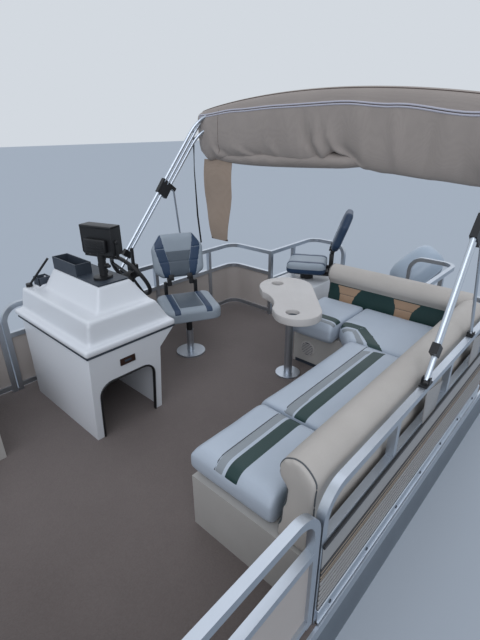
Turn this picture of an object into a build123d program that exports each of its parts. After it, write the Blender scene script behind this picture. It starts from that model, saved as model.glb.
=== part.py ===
# Twin-tube pontoon boat, 20 ft deck, with helm console, L-shaped lounge, folded bimini and outboard.
# Frame: +X to the bow, +Y to port, +Z up. All values are millimetres and degrees.
# While the pieces are made, x = 0 is the middle of the deck, y = 0 the centreline and z = 0 the keels.
from build123d import *
import math
import os

# Deck and beam
DECK_LENGTH = 6100.0
BEAM = 2440.0
DECK_THICK = 25.0
EDGE_TRIM_HEIGHT = 62.0
EDGE_TRIM_THICK = 12.0

# Pontoon tubes
TUBE_DIAMETER = 610.0
TUBE_SPACING = 1760.0
TUBE_LENGTH = 5900.0
NOSE_LENGTH = 620.0
NOSE_RISE = 150.0
KEEL_HEIGHT = 22.0
KEEL_WIDTH = 30.0

# Cross members under the deck
BEAM_HEIGHT = 60.0
BEAM_WIDTH = 45.0
BEAM_PITCH = 480.0
SADDLE_HEIGHT = 50.0
SADDLE_WIDTH = 70.0

# Fences: places along the boat are distances from the stern or the bow edge of the deck
RAIL = 32.0
TOP_RAIL_Z = 612.0
MID_RAIL_Z = 414.0
LOW_RAIL_Z = 40.0
RAIL_BEND = 110.0
POST_PITCH = 620.0
PANEL_THICK = 6.0
FENCE_INSET = 36.0
COCKPIT_FRONT = 3270.0
STARBOARD_AHEAD = 80.0
COCKPIT_CORNER = 1170.0
STERN_RAIL_SETBACK = 490.0
STERN_NARROWING = 484.0
STERN_RAIL_RETURN = 370.0
STERN_MID_DROP = 60.0
BOW_FENCE_SETBACK = 350.0
BOW_GATE_WIDTH = 760.0
SIDE_GATE_WIDTH = 820.0
GATE_GAP = 12.0
GATE_LIFT = 30.0
HINGE_OFFSET = 24.0
HINGE_PIN = 4.5
HINGE_BARREL = 8.5
HINGE_LENGTH = 40.0
HINGE_LUG = 12.0
HINGE_HEIGHTS = (100.0, 430.0)
PIN_PLAY = 0.3

# Console: its front lies ahead of the cockpit fence's front post, and its middle off the fence
CONSOLE_AHEAD = 6.0
CONSOLE_OFF_FENCE = 504.0
CONSOLE_FOOT_DEPTH = 466.0
CONSOLE_TOP_DEPTH = 571.0
CONSOLE_BASE_WIDTH = 750.0
CONSOLE_BASE_HEIGHT = 560.0
CONSOLE_FLARE_Z = 450.0
CONSOLE_WALL = 14.0
FLANGE_WIDTH = 900.0
FLANGE_THICK = 40.0
FLANGE_LIP = 14.0
FLANGE_GAP = 6.0
ARCH_FRONT_DEPTH = 48.0
ARCH_AFT_DEPTH = 416.0
ARCH_HEIGHT = 365.0
ARCH_RADIUS = 80.0
TIER_TOP_Z = 740.0
TIER_WIDTH = 819.0
POD_TOP_Z = 865.0
TIER_AFT_DEPTH = 491.0
TIER_SIDE = -11.0
POD_WIDTH = 532.0
POD_FOOT_WIDTH = 646.0
POD_SIDE = 13.0
POD_FRONT_DEPTH = 204.0
POD_FOOT_DEPTH = 146.0
POD_AFT_DEPTH = 411.0
CAP_PLUG_WIDTH = 600.0
TRAY_HEIGHT = 77.0
TRAY_WIDTH = 285.0
TRAY_DEPTH = 100.0
TRAY_WALL = 6.0
TRAY_FLOOR = 8.0
CADDY_SIZE = 75.0
CADDY_HEIGHT = 58.0
CADDY_SETBACK = 131.0
CADDY_EDGE = 22.0
WHEEL_RADIUS = 175.0
WHEEL_RIM = 13.0
WHEEL_HUB_RADIUS = 34.0
WHEEL_HUB_THICK = 30.0
SPOKE_WIDTH = 26.0
SPOKE_THICK = 10.0
WHEEL_DEPTH = 595.0
WHEEL_Z = 775.0
WHEEL_RAKE = 30.0
SHAFT_RADIUS = 42.0
SHAFT_LENGTH = 120.0
CONTROL_LENGTH = 60.0
CONTROL_WIDTH = 62.0
CONTROL_HEIGHT = 100.0
CONTROL_TOP_Z = 690.0
CONTROL_DEPTH = 936.0
CONTROL_PLATE = 8.0
LEVER_LENGTH = 130.0
LEVER_SIZE = 20.0
DISPLAY_WIDTH = 212.0
DISPLAY_HEIGHT = 155.0
DISPLAY_DEPTH = 60.0
DISPLAY_RISE = 140.0
DISPLAY_SIDE = 175.0
DISPLAY_SETBACK = 291.0
DISPLAY_TURN = 17.0
STEM_RADIUS = 22.0
STEM_BASE_RADIUS = 45.0
STEM_BASE_HEIGHT = 14.0
LIGHT_LENGTH = 240.0
LIGHT_RADIUS = 7.0
LIGHT_FOOT_RADIUS = 20.0
LIGHT_SETBACK = 96.0

# Helm and fishing seats: place, deck height of the cushion's underside, and size
SEAT_WIDTH = 460.0
SEAT_DEPTH = 430.0
SEAT_THICK = 100.0
SEAT_CORNER = 70.0
SEAT_BACK_HEIGHT = 374.0
SEAT_BACK_THICK = 70.0
SEAT_BACK_NARROWER = 22.0
SHOULDER_SHARE = 0.70
HIP_SHARE = 0.15
TOP_SHARE = 0.30
BOTTOM_SHARE = 0.34
SEAT_EDGE = 20.0
SEAT_BACK_RISE = 34.0
HELM_RECLINE = 12.0
HELM_SEAT_TURN = 62.0
FISHING_RECLINE = 19.0
FISHING_SEAT_TURN = -62.0
SEAT_PIN = 6.0
SEAT_PIVOT_RISE = 62.0
SEAT_PIVOT_SETBACK = 28.0
EAR_INSET = 112.0
EAR_THICK = 10.0
ARM_THICK = 12.0
ARM_WIDTH = 34.0
FRAME_PLATE = 14.0
HELM_SEAT_DEPTH = 1084.0
HELM_SEAT_SIDE = 20.0
HELM_CUSHION_Z = 350.0
FISHING_SEAT_SETBACK = 970.0
FISHING_SEAT_SIDE = 430.0
FISHING_WIDTH = 400.0
FISHING_DEPTH = 370.0
PEDESTAL_RADIUS = 28.0
PEDESTAL_BASE_RADIUS = 115.0
PEDESTAL_HEIGHT = 200.0

# Lounge furniture
LOUNGE_OFF_FENCE = 18.0
LOUNGE_DEPTH = 603.0
BACKREST_DEPTH = 165.0
LOUNGE_BASE_HEIGHT = 284.0
CUSHION_OVERHANG = 32.0
CUSHION_THICK = 150.0
CUSHION_NOSE = 52.0
CUSHION_SEAM = 4.0
FRONT_CUSHION_LENGTH = 472.0
BENCH_DEPTH = 539.0
BENCH_BASE_INSET = 30.0
BENCH_SEAT_AHEAD = 131.0
BENCH_BACK_DEPTH = 510.0
BENCH_HALF_GAP = 5.0
BENCH_BACK_SHORT = 90.0
BACKREST_TOP_Z = 690.0
BOLSTER_RADIUS = 82.0
NECK_DEPTH = 35.0
BOW_LOUNGE_GAPS = {1: 98.0, -1: 300.0}
BOW_LOUNGE_CLEAR = 140.0
SOFT_GAP = 0.4

# Table
TABLE_AHEAD = 196.0
TABLE_Y = 85.0
TABLE_TOP_Z = 622.0
TABLE_THICK = 52.0
TABLE_ANGLE = 46.0
TABLE_POST_RADIUS = 30.0
TABLE_BIG_LOBE = (-176.0, -8.0)
TABLE_BIG_RADIUS = 190.0
TABLE_SMALL_LOBE = (262.0, -5.0)
TABLE_SMALL_RADIUS = 152.0
TABLE_HOLLOW = (95.0, -425.0)
TABLE_HOLLOW_RADIUS = 290.0
TABLE_FOOT_RADIUS = 90.0
CUP_RADIUS = 42.0
CUP_DEPTH = 30.0
CUPS = ((-235.0, -60.0), (300.0, -44.0))

# Livewell box that carries the fishing seat
BOX_LENGTH = 410.0
BOX_WIDTH = 420.0
BOX_HEIGHT = 385.0
BOX_COLLAR_RADIUS = 60.0
BOX_COLLAR_HEIGHT = 80.0

# Folded bimini on its rail mounts
BIMINI_FOOT_SETBACK = 820.0
BIMINI_LEAN = 51.0
BOW_TUBE = 25.0
BOW_BEND = 170.0
BOW_CROWN = 110.0
BOW_TUCK = 74.0
MAIN_BOW_LENGTH = 1545.0
BOW_STACK = 34.0
CLAMP_WIDTH = 34.0
SECOND_BOW_START = 120.0
THIRD_BOW_START = 700.0
BOW_STEP = 60.0
BOOT_SETBACK = 922.0
BOOT_LOW_Z = 1368.0
BOOT_END_Z = 1780.0
BOOT_TOP_Z = 1886.0
BOOT_THICK = 230.0
BOOT_OVERHANG = 45.0
BOOT_CORNER = 90.0
BOOT_EDGE = 40.0
TAIL_SETBACK = 902.0
TAIL_INBOARD = 206.0
TAIL_WIDTH = 320.0
TAIL_FOOT_WIDTH = 190.0
TAIL_THICK = 28.0
TAIL_FOOT_Z = 757.0
TAIL_TAPER_Z = 1100.0
TAIL_TOP_Z = 1500.0
STRUT_CLAMP = 780.0
STRUT_EYE = 13.0
STRUT_OFFSET = -78.0
STRUT_FOOT_SETBACK = 640.0
STRUT_TUBE = 16.0
PIN_RADIUS = 4.0

# Outboard motor
TRANSOM_OVERHANG = 260.0
TRANSOM_TOP = -120.0
TRANSOM_WIDTH = 420.0
TRANSOM_THICK = 44.0
POD_LENGTH = 820.0
POD_FLOOR_Z = 370.0
POD_HEIGHT = 200.0
POD_WEB = 60.0
TILT_SETBACK = 96.0
TILT_TUBE = 18.0
BRACKET_WIDTH = 200.0
BRACKET_CHEEK = 25.0
BRACKET_DROP = 268.0
SWIVEL_OFFSET = 125.0
SWIVEL_RADIUS = 46.0
SWIVEL_SHAFT = 24.0
MOTOR_TILT = 51.0
MOTOR_STEER = -33.0
COWL_LENGTH = 560.0
COWL_WIDTH = 370.0
COWL_HEIGHT = 400.0
COWL_FLOOR = 130.0
COWL_FORWARD = 90.0
COWL_CORNER = 90.0
COWL_WAIST_CORNER = 120.0
COWL_RAKE = 20.0
PAN_SETBACK = 150.0
PAN_LENGTH = 400.0
PAN_WIDTH = 225.0
LEG_SETBACK = 130.0
LEG_DEPTH = 130.0
LEG_WIDTH = 90.0
LEG_LENGTH = 440.0
YOKE_LENGTH = 150.0
YOKE_WIDTH = 60.0
YOKE_THICK = 24.0
YOKE_DROP = 257.0
WATER_PLATE_DROP = 490.0
WATER_PLATE_LENGTH = 340.0
WATER_PLATE_WIDTH = 190.0
WATER_PLATE_THICK = 10.0
STRUT_DEPTH = 120.0
STRUT_WIDTH = 46.0
SKEG_SIZE = 130.0
SKEG_THICK = 12.0
GEARCASE_RADIUS = 48.0
GEARCASE_LENGTH = 330.0
PROP_DROP = 675.0
PROP_RADIUS = 165.0
PROP_HUB = 40.0
PROP_HUB_LENGTH = 90.0

# Places worked out from the sizes above
TUBE_Z = KEEL_HEIGHT + TUBE_DIAMETER / 2
BEAM_Z = TUBE_Z + TUBE_DIAMETER / 2 + SADDLE_HEIGHT
DECK_Z = BEAM_Z + BEAM_HEIGHT + DECK_THICK
STERN_X = -DECK_LENGTH / 2
BOW_X = DECK_LENGTH / 2
FENCE_Y = BEAM / 2 - FENCE_INSET
FENCE_FRONT_X = STERN_X + COCKPIT_FRONT
FENCE_FRONT = {1: FENCE_FRONT_X, -1: FENCE_FRONT_X + STARBOARD_AHEAD}
FENCE_CORNER_X = STERN_X + COCKPIT_CORNER
STERN_RAIL_X = STERN_X + STERN_RAIL_SETBACK
STERN_POST_Y = FENCE_Y - STERN_NARROWING
STERN_RAIL_END_Y = STERN_POST_Y - STERN_RAIL_RETURN
BOW_FENCE_X = BOW_X - BOW_FENCE_SETBACK
CONSOLE_FRONT_X = FENCE_FRONT_X + CONSOLE_AHEAD
CONSOLE_FOOT_AFT_X = CONSOLE_FRONT_X - CONSOLE_FOOT_DEPTH
CONSOLE_TOP_AFT_X = CONSOLE_FRONT_X - CONSOLE_TOP_DEPTH
CONSOLE_Y = -FENCE_Y + CONSOLE_OFF_FENCE
ARCH_FRONT_X = CONSOLE_FRONT_X - ARCH_FRONT_DEPTH
ARCH_AFT_X = CONSOLE_FRONT_X - ARCH_AFT_DEPTH
POD_FRONT_X = CONSOLE_FRONT_X - POD_FRONT_DEPTH
POD_AFT_X = CONSOLE_FRONT_X - POD_AFT_DEPTH
TIER_AFT_X = CONSOLE_FRONT_X - TIER_AFT_DEPTH
POD_Y = CONSOLE_Y + POD_SIDE
TIER_Y = CONSOLE_Y + TIER_SIDE
WHEEL_X = CONSOLE_FRONT_X - WHEEL_DEPTH
HELM_SEAT_X = CONSOLE_FRONT_X - HELM_SEAT_DEPTH
HELM_SEAT_Y = CONSOLE_Y - HELM_SEAT_SIDE
FISHING_SEAT_X = STERN_X + FISHING_SEAT_SETBACK
FISHING_SEAT_Y = -FISHING_SEAT_SIDE
LOUNGE_OUTER_Y = FENCE_Y - RAIL / 2 - LOUNGE_OFF_FENCE
LOUNGE_INNER_Y = LOUNGE_OUTER_Y - LOUNGE_DEPTH
BACKREST_FOOT_Y = LOUNGE_OUTER_Y - BACKREST_DEPTH
LOUNGE_FRONT_X = FENCE_FRONT_X + 2
CUSHION_BREAK_X = LOUNGE_FRONT_X - FRONT_CUSHION_LENGTH
BENCH_REAR_X = FENCE_CORNER_X + RAIL / 2 + 14
BENCH_FRONT_X = BENCH_REAR_X + BENCH_DEPTH
BENCH_SEAT_FRONT_X = BENCH_FRONT_X + BENCH_SEAT_AHEAD
BENCH_BACK_X = BENCH_SEAT_FRONT_X - BENCH_BACK_DEPTH
BENCH_END_Y = -BENCH_HALF_GAP
BENCH_BACK_END_Y = LOUNGE_OUTER_Y - BENCH_BACK_SHORT
TABLE_X = BENCH_FRONT_X + TABLE_AHEAD
BIMINI_FOOT_X = FENCE_FRONT_X - BIMINI_FOOT_SETBACK
BOW_HALF_WIDTH = FENCE_Y - BOW_TUCK
BOOT_X = BIMINI_FOOT_X - BOOT_SETBACK
TAIL_X = BIMINI_FOOT_X - TAIL_SETBACK
TAIL_Y = -FENCE_Y + TAIL_INBOARD
STRUT_FOOT_X = BIMINI_FOOT_X - STRUT_FOOT_SETBACK
TRANSOM_X = STERN_X - TRANSOM_OVERHANG
TILT_X = TRANSOM_X - TILT_SETBACK

nodes = {}


def block(x0, x1, y0, y1, z0, z1):
    """A box between two corners, with z measured from the deck's top."""
    centre = ((x0 + x1) / 2, (y0 + y1) / 2, DECK_Z + (z0 + z1) / 2)
    return Pos(*centre) * Box(abs(x1 - x0), abs(y1 - y0), abs(z1 - z0))


def rod(x, y, z0, z1, radius):
    """An upright cylinder, with z measured from the deck's top."""
    return Pos(x, y, DECK_Z + (z0 + z1) / 2) * Cylinder(radius, abs(z1 - z0))


def square_tube(points, bend, width, height, side):
    """A rectangular section swept along flat straight runs joined by arcs; side lies across the path."""
    path = FilletPolyline(*points, radius=bend) if len(points) > 2 else Line(*points)
    section = Plane(origin=path @ 0, x_dir=side, z_dir=path % 0) * Rectangle(width, height)
    return sweep(section, path=path)


def round_tube(points, bend, diameter):
    """A round section swept along straight runs joined by arcs."""
    path = FilletPolyline(*points, radius=bend) if len(points) > 2 else Line(*points)
    section = Plane(origin=path @ 0, z_dir=path % 0) * Circle(diameter / 2)
    return sweep(section, path=path)


def fence_x(x0, x1, y, posts):
    """A fence frame along X, whose top rail bends down into the post at x1."""
    top = DECK_Z + TOP_RAIL_Z
    points = [(x0, y, top), (x1, y, top), (x1, y, DECK_Z)]
    frame = square_tube(points, RAIL_BEND, RAIL, RAIL, (0, 1, 0))
    low, high = min(x0, x1), max(x0, x1)
    for z in (MID_RAIL_Z, LOW_RAIL_Z):
        frame += block(low, high, y - RAIL / 2, y + RAIL / 2, z - RAIL / 2, z + RAIL / 2)
    for x in posts:
        frame += block(x - RAIL / 2, x + RAIL / 2, y - RAIL / 2, y + RAIL / 2, 0, TOP_RAIL_Z)
    return frame


def pontoon(side):
    """One closed tube with a raised nose, a flat stern cap and a keel strip."""
    y = side * TUBE_SPACING / 2
    radius = TUBE_DIAMETER / 2
    stern = STERN_X + 60
    nose_root = stern + TUBE_LENGTH - NOSE_LENGTH
    tube = Pos((stern + nose_root) / 2, y, TUBE_Z) * Rot(0, 90, 0) * Cylinder(radius, nose_root - stern)
    root = Plane(origin=(nose_root, y, TUBE_Z), z_dir=(1, 0, 0)) * Circle(radius)
    middle = Plane(origin=(nose_root + NOSE_LENGTH * 0.6, y, TUBE_Z + NOSE_RISE * 0.4),
                   z_dir=(1, 0, 0)) * Circle(radius * 0.72)
    tip_place = (nose_root + NOSE_LENGTH, y, TUBE_Z + NOSE_RISE)
    tip = Plane(origin=tip_place, z_dir=(1, 0, 0)) * Circle(radius * 0.22)
    tube += loft([root, middle, tip], ruled=True)
    keel = Pos((stern + nose_root) / 2, y, KEEL_HEIGHT) * Box(nose_root - stern, KEEL_WIDTH, 2 * KEEL_HEIGHT)
    return tube + keel


def cross_members():
    """Channels across the boat and the saddles that seat them on the tubes."""
    count = int((DECK_LENGTH - 500) // BEAM_PITCH) + 1
    first = -(count - 1) * BEAM_PITCH / 2
    solids = []
    for i in range(count):
        x = first + i * BEAM_PITCH
        member = Box(BEAM_WIDTH, BEAM - 2 * EDGE_TRIM_THICK, BEAM_HEIGHT)
        member = Pos(x, 0, BEAM_Z + BEAM_HEIGHT / 2) * member
        for side in (-1, 1):
            y = side * TUBE_SPACING / 2
            saddle = Box(SADDLE_WIDTH, 2 * SADDLE_WIDTH, SADDLE_HEIGHT * 1.3)
            saddle = Pos(x, y, BEAM_Z - SADDLE_HEIGHT / 2) * saddle
            saddle -= Pos(x, y, TUBE_Z) * Rot(0, 90, 0) * Cylinder(TUBE_DIAMETER / 2, 2 * SADDLE_WIDTH)
            member += saddle
        solids.append(member)
    return Compound(solids)


def edge_trim():
    """The extruded rim around the deck board."""
    outer = Box(DECK_LENGTH, BEAM, EDGE_TRIM_HEIGHT)
    inner = Box(DECK_LENGTH - 2 * EDGE_TRIM_THICK, BEAM - 2 * EDGE_TRIM_THICK, EDGE_TRIM_HEIGHT * 2)
    return Pos(0, 0, DECK_Z - EDGE_TRIM_HEIGHT / 2) * (outer - inner)


def side_fence(side):
    """The fence along the cockpit and around the aft corner to its end post."""
    y = side * FENCE_Y
    top = DECK_Z + TOP_RAIL_Z
    post_y = side * STERN_POST_Y
    corner = RAIL_BEND
    frame = None
    for z in (TOP_RAIL_Z, MID_RAIL_Z, LOW_RAIL_Z):
        points = [(FENCE_CORNER_X + 3 * corner, y, DECK_Z + z), (FENCE_CORNER_X, y, DECK_Z + z),
                  (FENCE_CORNER_X, post_y, DECK_Z + z)]
        rail = square_tube(points, corner, RAIL, RAIL, (0, 0, 1))
        frame = rail if frame is None else frame + rail
    start = FENCE_CORNER_X + 3 * corner
    frame += fence_x(start, FENCE_FRONT[side], y, [start, start + POST_PITCH, start + 2 * POST_PITCH])
    frame += block(FENCE_CORNER_X - RAIL / 2, FENCE_CORNER_X + RAIL / 2, post_y - RAIL / 2, post_y + RAIL / 2,
                   0, TOP_RAIL_Z + RAIL / 2)
    return frame


def side_panel(side):
    """The sheet that backs the side fence and turns its corner."""
    y = side * FENCE_Y
    z = DECK_Z + (LOW_RAIL_Z + MID_RAIL_Z) / 2
    height = MID_RAIL_Z - LOW_RAIL_Z - RAIL
    points = [(FENCE_FRONT[side] - RAIL / 2, y, z), (FENCE_CORNER_X, y, z),
              (FENCE_CORNER_X, side * (STERN_POST_Y + RAIL / 2), z)]
    sheet = square_tube(points, RAIL_BEND, height, PANEL_THICK, (0, 0, 1))
    start = FENCE_CORNER_X + 3 * RAIL_BEND
    for x in (start, start + POST_PITCH, start + 2 * POST_PITCH):
        sheet -= block(x - RAIL / 2, x + RAIL / 2, y - RAIL, y + RAIL, 0, TOP_RAIL_Z)
    return sheet


nodes["pontoon_port"] = pontoon(1)
nodes["pontoon_starboard"] = pontoon(-1)
nodes["cross_members"] = cross_members()
nodes["deck_board"] = block(STERN_X + EDGE_TRIM_THICK, BOW_X - EDGE_TRIM_THICK, -BEAM / 2 + EDGE_TRIM_THICK,
                            BEAM / 2 - EDGE_TRIM_THICK, -DECK_THICK, 0)
nodes["deck_edge_trim"] = edge_trim()
for name, side in (("port", 1), ("starboard", -1)):
    nodes[f"fence_{name}"] = side_fence(side)

# Bow fences: each side runs from its aft post round the square bow corner to the gate post
SIDE_GATE_X0 = FENCE_FRONT_X + RAIL / 2 + GATE_GAP
SIDE_GATE_X1 = SIDE_GATE_X0 + SIDE_GATE_WIDTH
BOW_POST_Y = BOW_GATE_WIDTH / 2 + GATE_GAP + RAIL / 2
BOW_FENCE_AFT = {1: SIDE_GATE_X1 + GATE_GAP + RAIL / 2, -1: FENCE_FRONT[-1] + RAIL + 8}


def bow_fence(side):
    """One side of the bow fence, with its corner bend."""
    y = side * FENCE_Y
    aft = BOW_FENCE_AFT[side]
    turn = BOW_FENCE_X - 3 * RAIL_BEND
    frame = fence_x(turn, aft, y, [turn, (turn + aft) / 2])
    for z in (TOP_RAIL_Z, MID_RAIL_Z, LOW_RAIL_Z):
        level = DECK_Z + z
        points = [(turn, y, level), (BOW_FENCE_X, y, level), (BOW_FENCE_X, side * BOW_POST_Y, level)]
        frame += square_tube(points, RAIL_BEND, RAIL, RAIL, (0, 0, 1))
    frame += block(BOW_FENCE_X - RAIL / 2, BOW_FENCE_X + RAIL / 2, side * BOW_POST_Y - RAIL / 2,
                   side * BOW_POST_Y + RAIL / 2, 0, TOP_RAIL_Z + RAIL / 2)
    return frame


def bow_panel(side):
    """The sheet of one side of the bow fence."""
    y = side * FENCE_Y
    aft = BOW_FENCE_AFT[side]
    z = DECK_Z + (LOW_RAIL_Z + MID_RAIL_Z) / 2
    height = MID_RAIL_Z - LOW_RAIL_Z - RAIL
    points = [(aft + RAIL / 2, y, z), (BOW_FENCE_X, y, z), (BOW_FENCE_X, side * (BOW_POST_Y + RAIL / 2), z)]
    sheet = square_tube(points, RAIL_BEND, height, PANEL_THICK, (0, 0, 1))
    turn = BOW_FENCE_X - 3 * RAIL_BEND
    for x in (turn, (turn + aft) / 2):
        sheet -= block(x - RAIL / 2, x + RAIL / 2, y - RAIL, y + RAIL, 0, TOP_RAIL_Z)
    return sheet


for name, side in (("port", 1), ("starboard", -1)):
    nodes[f"bow_fence_{name}"] = bow_fence(side)
    nodes[f"fence_panels_{name}"] = Compound(side_panel(side).solids() + bow_panel(side).solids())


def gate(width):
    """A gate leaf along +X from its hinge edge at the origin, with rounded top corners."""
    half = RAIL / 2
    points = [(half, 0, GATE_LIFT), (half, 0, TOP_RAIL_Z), (width - half, 0, TOP_RAIL_Z),
              (width - half, 0, GATE_LIFT)]
    frame = square_tube(points, RAIL_BEND, RAIL, RAIL, (0, 1, 0))
    for z in (MID_RAIL_Z, LOW_RAIL_Z + half):
        frame += Pos(width / 2, 0, z) * Box(width - RAIL, RAIL, RAIL)
    lug_depth = HINGE_OFFSET + HINGE_BARREL - half + 1
    for z in HINGE_HEIGHTS:
        knuckle = Pos(half - GATE_GAP, half - 1 + lug_depth / 2, z) * Box(RAIL, lug_depth, HINGE_LENGTH)
        knuckle -= Pos(-GATE_GAP - half, half, z) * Box(RAIL, RAIL + lug_depth, 2 * HINGE_LENGTH)
        knuckle += Pos(-GATE_GAP / 2, HINGE_OFFSET, z) * Cylinder(HINGE_BARREL, HINGE_LENGTH)
        bore = Cylinder(HINGE_PIN + PIN_PLAY, 2 * HINGE_LENGTH)
        frame += knuckle - Pos(-GATE_GAP / 2, HINGE_OFFSET, z) * bore
    low = LOW_RAIL_Z + RAIL
    high = MID_RAIL_Z - half
    sheet = Pos(width / 2, 0, (low + high) / 2) * Box(width - 2 * RAIL, PANEL_THICK, high - low)
    return frame, sheet


def gate_post_hinges():
    """The pins and lugs on a gate's post, in the frame of its leaf."""
    reach = HINGE_OFFSET + HINGE_BARREL - RAIL / 2 + 1
    hinges = []
    for z in HINGE_HEIGHTS:
        hinge = Pos(-GATE_GAP / 2, HINGE_OFFSET, z) * Cylinder(HINGE_PIN, HINGE_LENGTH + 2 * HINGE_LUG)
        for side in (-1, 1):
            lug_z = z + side * (HINGE_LENGTH + HINGE_LUG + 4) / 2
            hinge += Pos(-GATE_GAP - 6, RAIL / 2 - 1 + reach / 2, lug_z) * Box(RAIL + 1, reach, HINGE_LUG)
        hinges.append(hinge)
    return hinges


gate_frame, gate_sheet = gate(SIDE_GATE_WIDTH)
side_gate_place = Pos(SIDE_GATE_X1, FENCE_Y, DECK_Z) * Rot(0, 0, 180)
nodes["side_gate_frame"] = side_gate_place * gate_frame
for hinge in gate_post_hinges():
    nodes["bow_fence_port"] += side_gate_place * hinge
nodes["side_gate_panel"] = side_gate_place * gate_sheet
gate_frame, gate_sheet = gate(BOW_GATE_WIDTH)
bow_gate_place = Pos(BOW_FENCE_X, -BOW_GATE_WIDTH / 2, DECK_Z) * Rot(0, 0, 90)
nodes["bow_gate_frame"] = bow_gate_place * gate_frame
for hinge in gate_post_hinges():
    nodes["bow_fence_starboard"] += bow_gate_place * hinge
nodes["bow_gate_panel"] = bow_gate_place * gate_sheet


def stern_rail(side):
    """The low open rail round one side of the aft deck, bent down at its inboard end."""
    y = side * STERN_POST_Y
    end_y = side * STERN_RAIL_END_Y
    start = FENCE_CORNER_X - RAIL / 2
    rail = None
    for z, foot in ((TOP_RAIL_Z, 0.0), (MID_RAIL_Z - STERN_MID_DROP, None)):
        level = DECK_Z + z
        points = [(start, y, level), (STERN_RAIL_X, y, level), (STERN_RAIL_X, end_y + side * 200, level)]
        run = square_tube(points, RAIL_BEND, RAIL, RAIL, (0, 0, 1))
        if foot is None:
            run += Pos(STERN_RAIL_X, end_y + side * 100, level) * Box(RAIL, 200, RAIL)
        else:
            down = [(STERN_RAIL_X, end_y + side * 200, level), (STERN_RAIL_X, end_y, level),
                    (STERN_RAIL_X, end_y, DECK_Z + foot)]
            run += square_tube(down, RAIL_BEND, RAIL, RAIL, (1, 0, 0))
        rail = run if rail is None else rail + run
    rail += block((start + STERN_RAIL_X) / 2 - RAIL / 2, (start + STERN_RAIL_X) / 2 + RAIL / 2,
                  y - RAIL / 2, y + RAIL / 2, 0, TOP_RAIL_Z)
    return rail


nodes["stern_rails"] = Compound([stern_rail(1), stern_rail(-1)])


def console_profile(inset):
    """The console base seen from the side, flaring aft at its top."""
    points = [(CONSOLE_FRONT_X - inset, 0), (CONSOLE_FRONT_X - inset, CONSOLE_BASE_HEIGHT - inset),
              (CONSOLE_TOP_AFT_X + inset, CONSOLE_BASE_HEIGHT - inset),
              (CONSOLE_FOOT_AFT_X + inset, CONSOLE_FLARE_Z - inset), (CONSOLE_FOOT_AFT_X + inset, 0)]
    return Polyline(*points, close=True)


def console_base():
    """The hollow white base with an arch in its inboard face."""
    port_y = CONSOLE_Y + CONSOLE_BASE_WIDTH / 2
    plane = Plane(origin=(0, port_y, DECK_Z), x_dir=(1, 0, 0), z_dir=(0, -1, 0))
    shell = extrude(plane * make_face(console_profile(0)), CONSOLE_BASE_WIDTH)
    inner = Plane(origin=(0, port_y - CONSOLE_WALL, DECK_Z), x_dir=(1, 0, 0), z_dir=(0, -1, 0))
    shell -= extrude(inner * make_face(console_profile(CONSOLE_WALL)), CONSOLE_BASE_WIDTH - 2 * CONSOLE_WALL)
    width = ARCH_FRONT_X - ARCH_AFT_X
    arch = Pos(0, ARCH_HEIGHT / 2 - 100) * Rectangle(width, ARCH_HEIGHT + 200)
    arch = fillet(arch.vertices(), ARCH_RADIUS)
    cutter = Plane(origin=((ARCH_FRONT_X + ARCH_AFT_X) / 2, port_y + 5, DECK_Z),
                   x_dir=(1, 0, 0), z_dir=(0, -1, 0)) * arch
    return shell - extrude(cutter, CONSOLE_WALL + 10)


def tapered(x0, x1, width0, z0, x2, x3, width1, z1, y):
    """A four-sided solid between a lower and an upper rectangle, both centred on y."""
    low = Plane(origin=((x0 + x1) / 2, y, DECK_Z + z0)) * Rectangle(abs(x1 - x0), width0)
    high = Plane(origin=((x2 + x3) / 2, y, DECK_Z + z1)) * Rectangle(abs(x3 - x2), width1)
    return loft([low, high], ruled=True)


CAP_FLOOR = CONSOLE_BASE_HEIGHT + FLANGE_GAP
CAP_FRONT_X = CONSOLE_FRONT_X + FLANGE_LIP
CAP_AFT_X = CONSOLE_TOP_AFT_X - FLANGE_LIP
cap = block(CAP_AFT_X, CAP_FRONT_X, CONSOLE_Y - FLANGE_WIDTH / 2, CONSOLE_Y + FLANGE_WIDTH / 2,
            CAP_FLOOR, CAP_FLOOR + FLANGE_THICK)
cap += tapered(CAP_AFT_X + 12, CAP_FRONT_X - 45, FLANGE_WIDTH - 60, CAP_FLOOR + FLANGE_THICK,
               TIER_AFT_X, CAP_FRONT_X - 67, TIER_WIDTH, TIER_TOP_Z, TIER_Y)
cap += tapered(TIER_AFT_X, CONSOLE_FRONT_X - POD_FOOT_DEPTH, POD_FOOT_WIDTH, TIER_TOP_Z,
               POD_AFT_X, POD_FRONT_X, POD_WIDTH, POD_TOP_Z, POD_Y)
cap += block(CONSOLE_TOP_AFT_X + CONSOLE_WALL, CONSOLE_FRONT_X - CONSOLE_WALL, CONSOLE_Y - CAP_PLUG_WIDTH / 2,
             CONSOLE_Y + CAP_PLUG_WIDTH / 2, CONSOLE_BASE_HEIGHT, CAP_FLOOR)
caddy_x = CONSOLE_FRONT_X - CADDY_SETBACK
caddy_y = TIER_Y - TIER_WIDTH / 2 + CADDY_EDGE
cap += block(caddy_x - CADDY_SIZE, caddy_x, caddy_y, caddy_y + CADDY_SIZE,
             TIER_TOP_Z, TIER_TOP_Z + CADDY_HEIGHT)
cap -= block(caddy_x - CADDY_SIZE + TRAY_WALL, caddy_x - TRAY_WALL, caddy_y + TRAY_WALL,
             caddy_y + CADDY_SIZE - TRAY_WALL, TIER_TOP_Z + TRAY_WALL, TIER_TOP_Z + 2 * CADDY_HEIGHT)
nodes["console_base"] = console_base()
nodes["console_cap"] = cap

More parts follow.
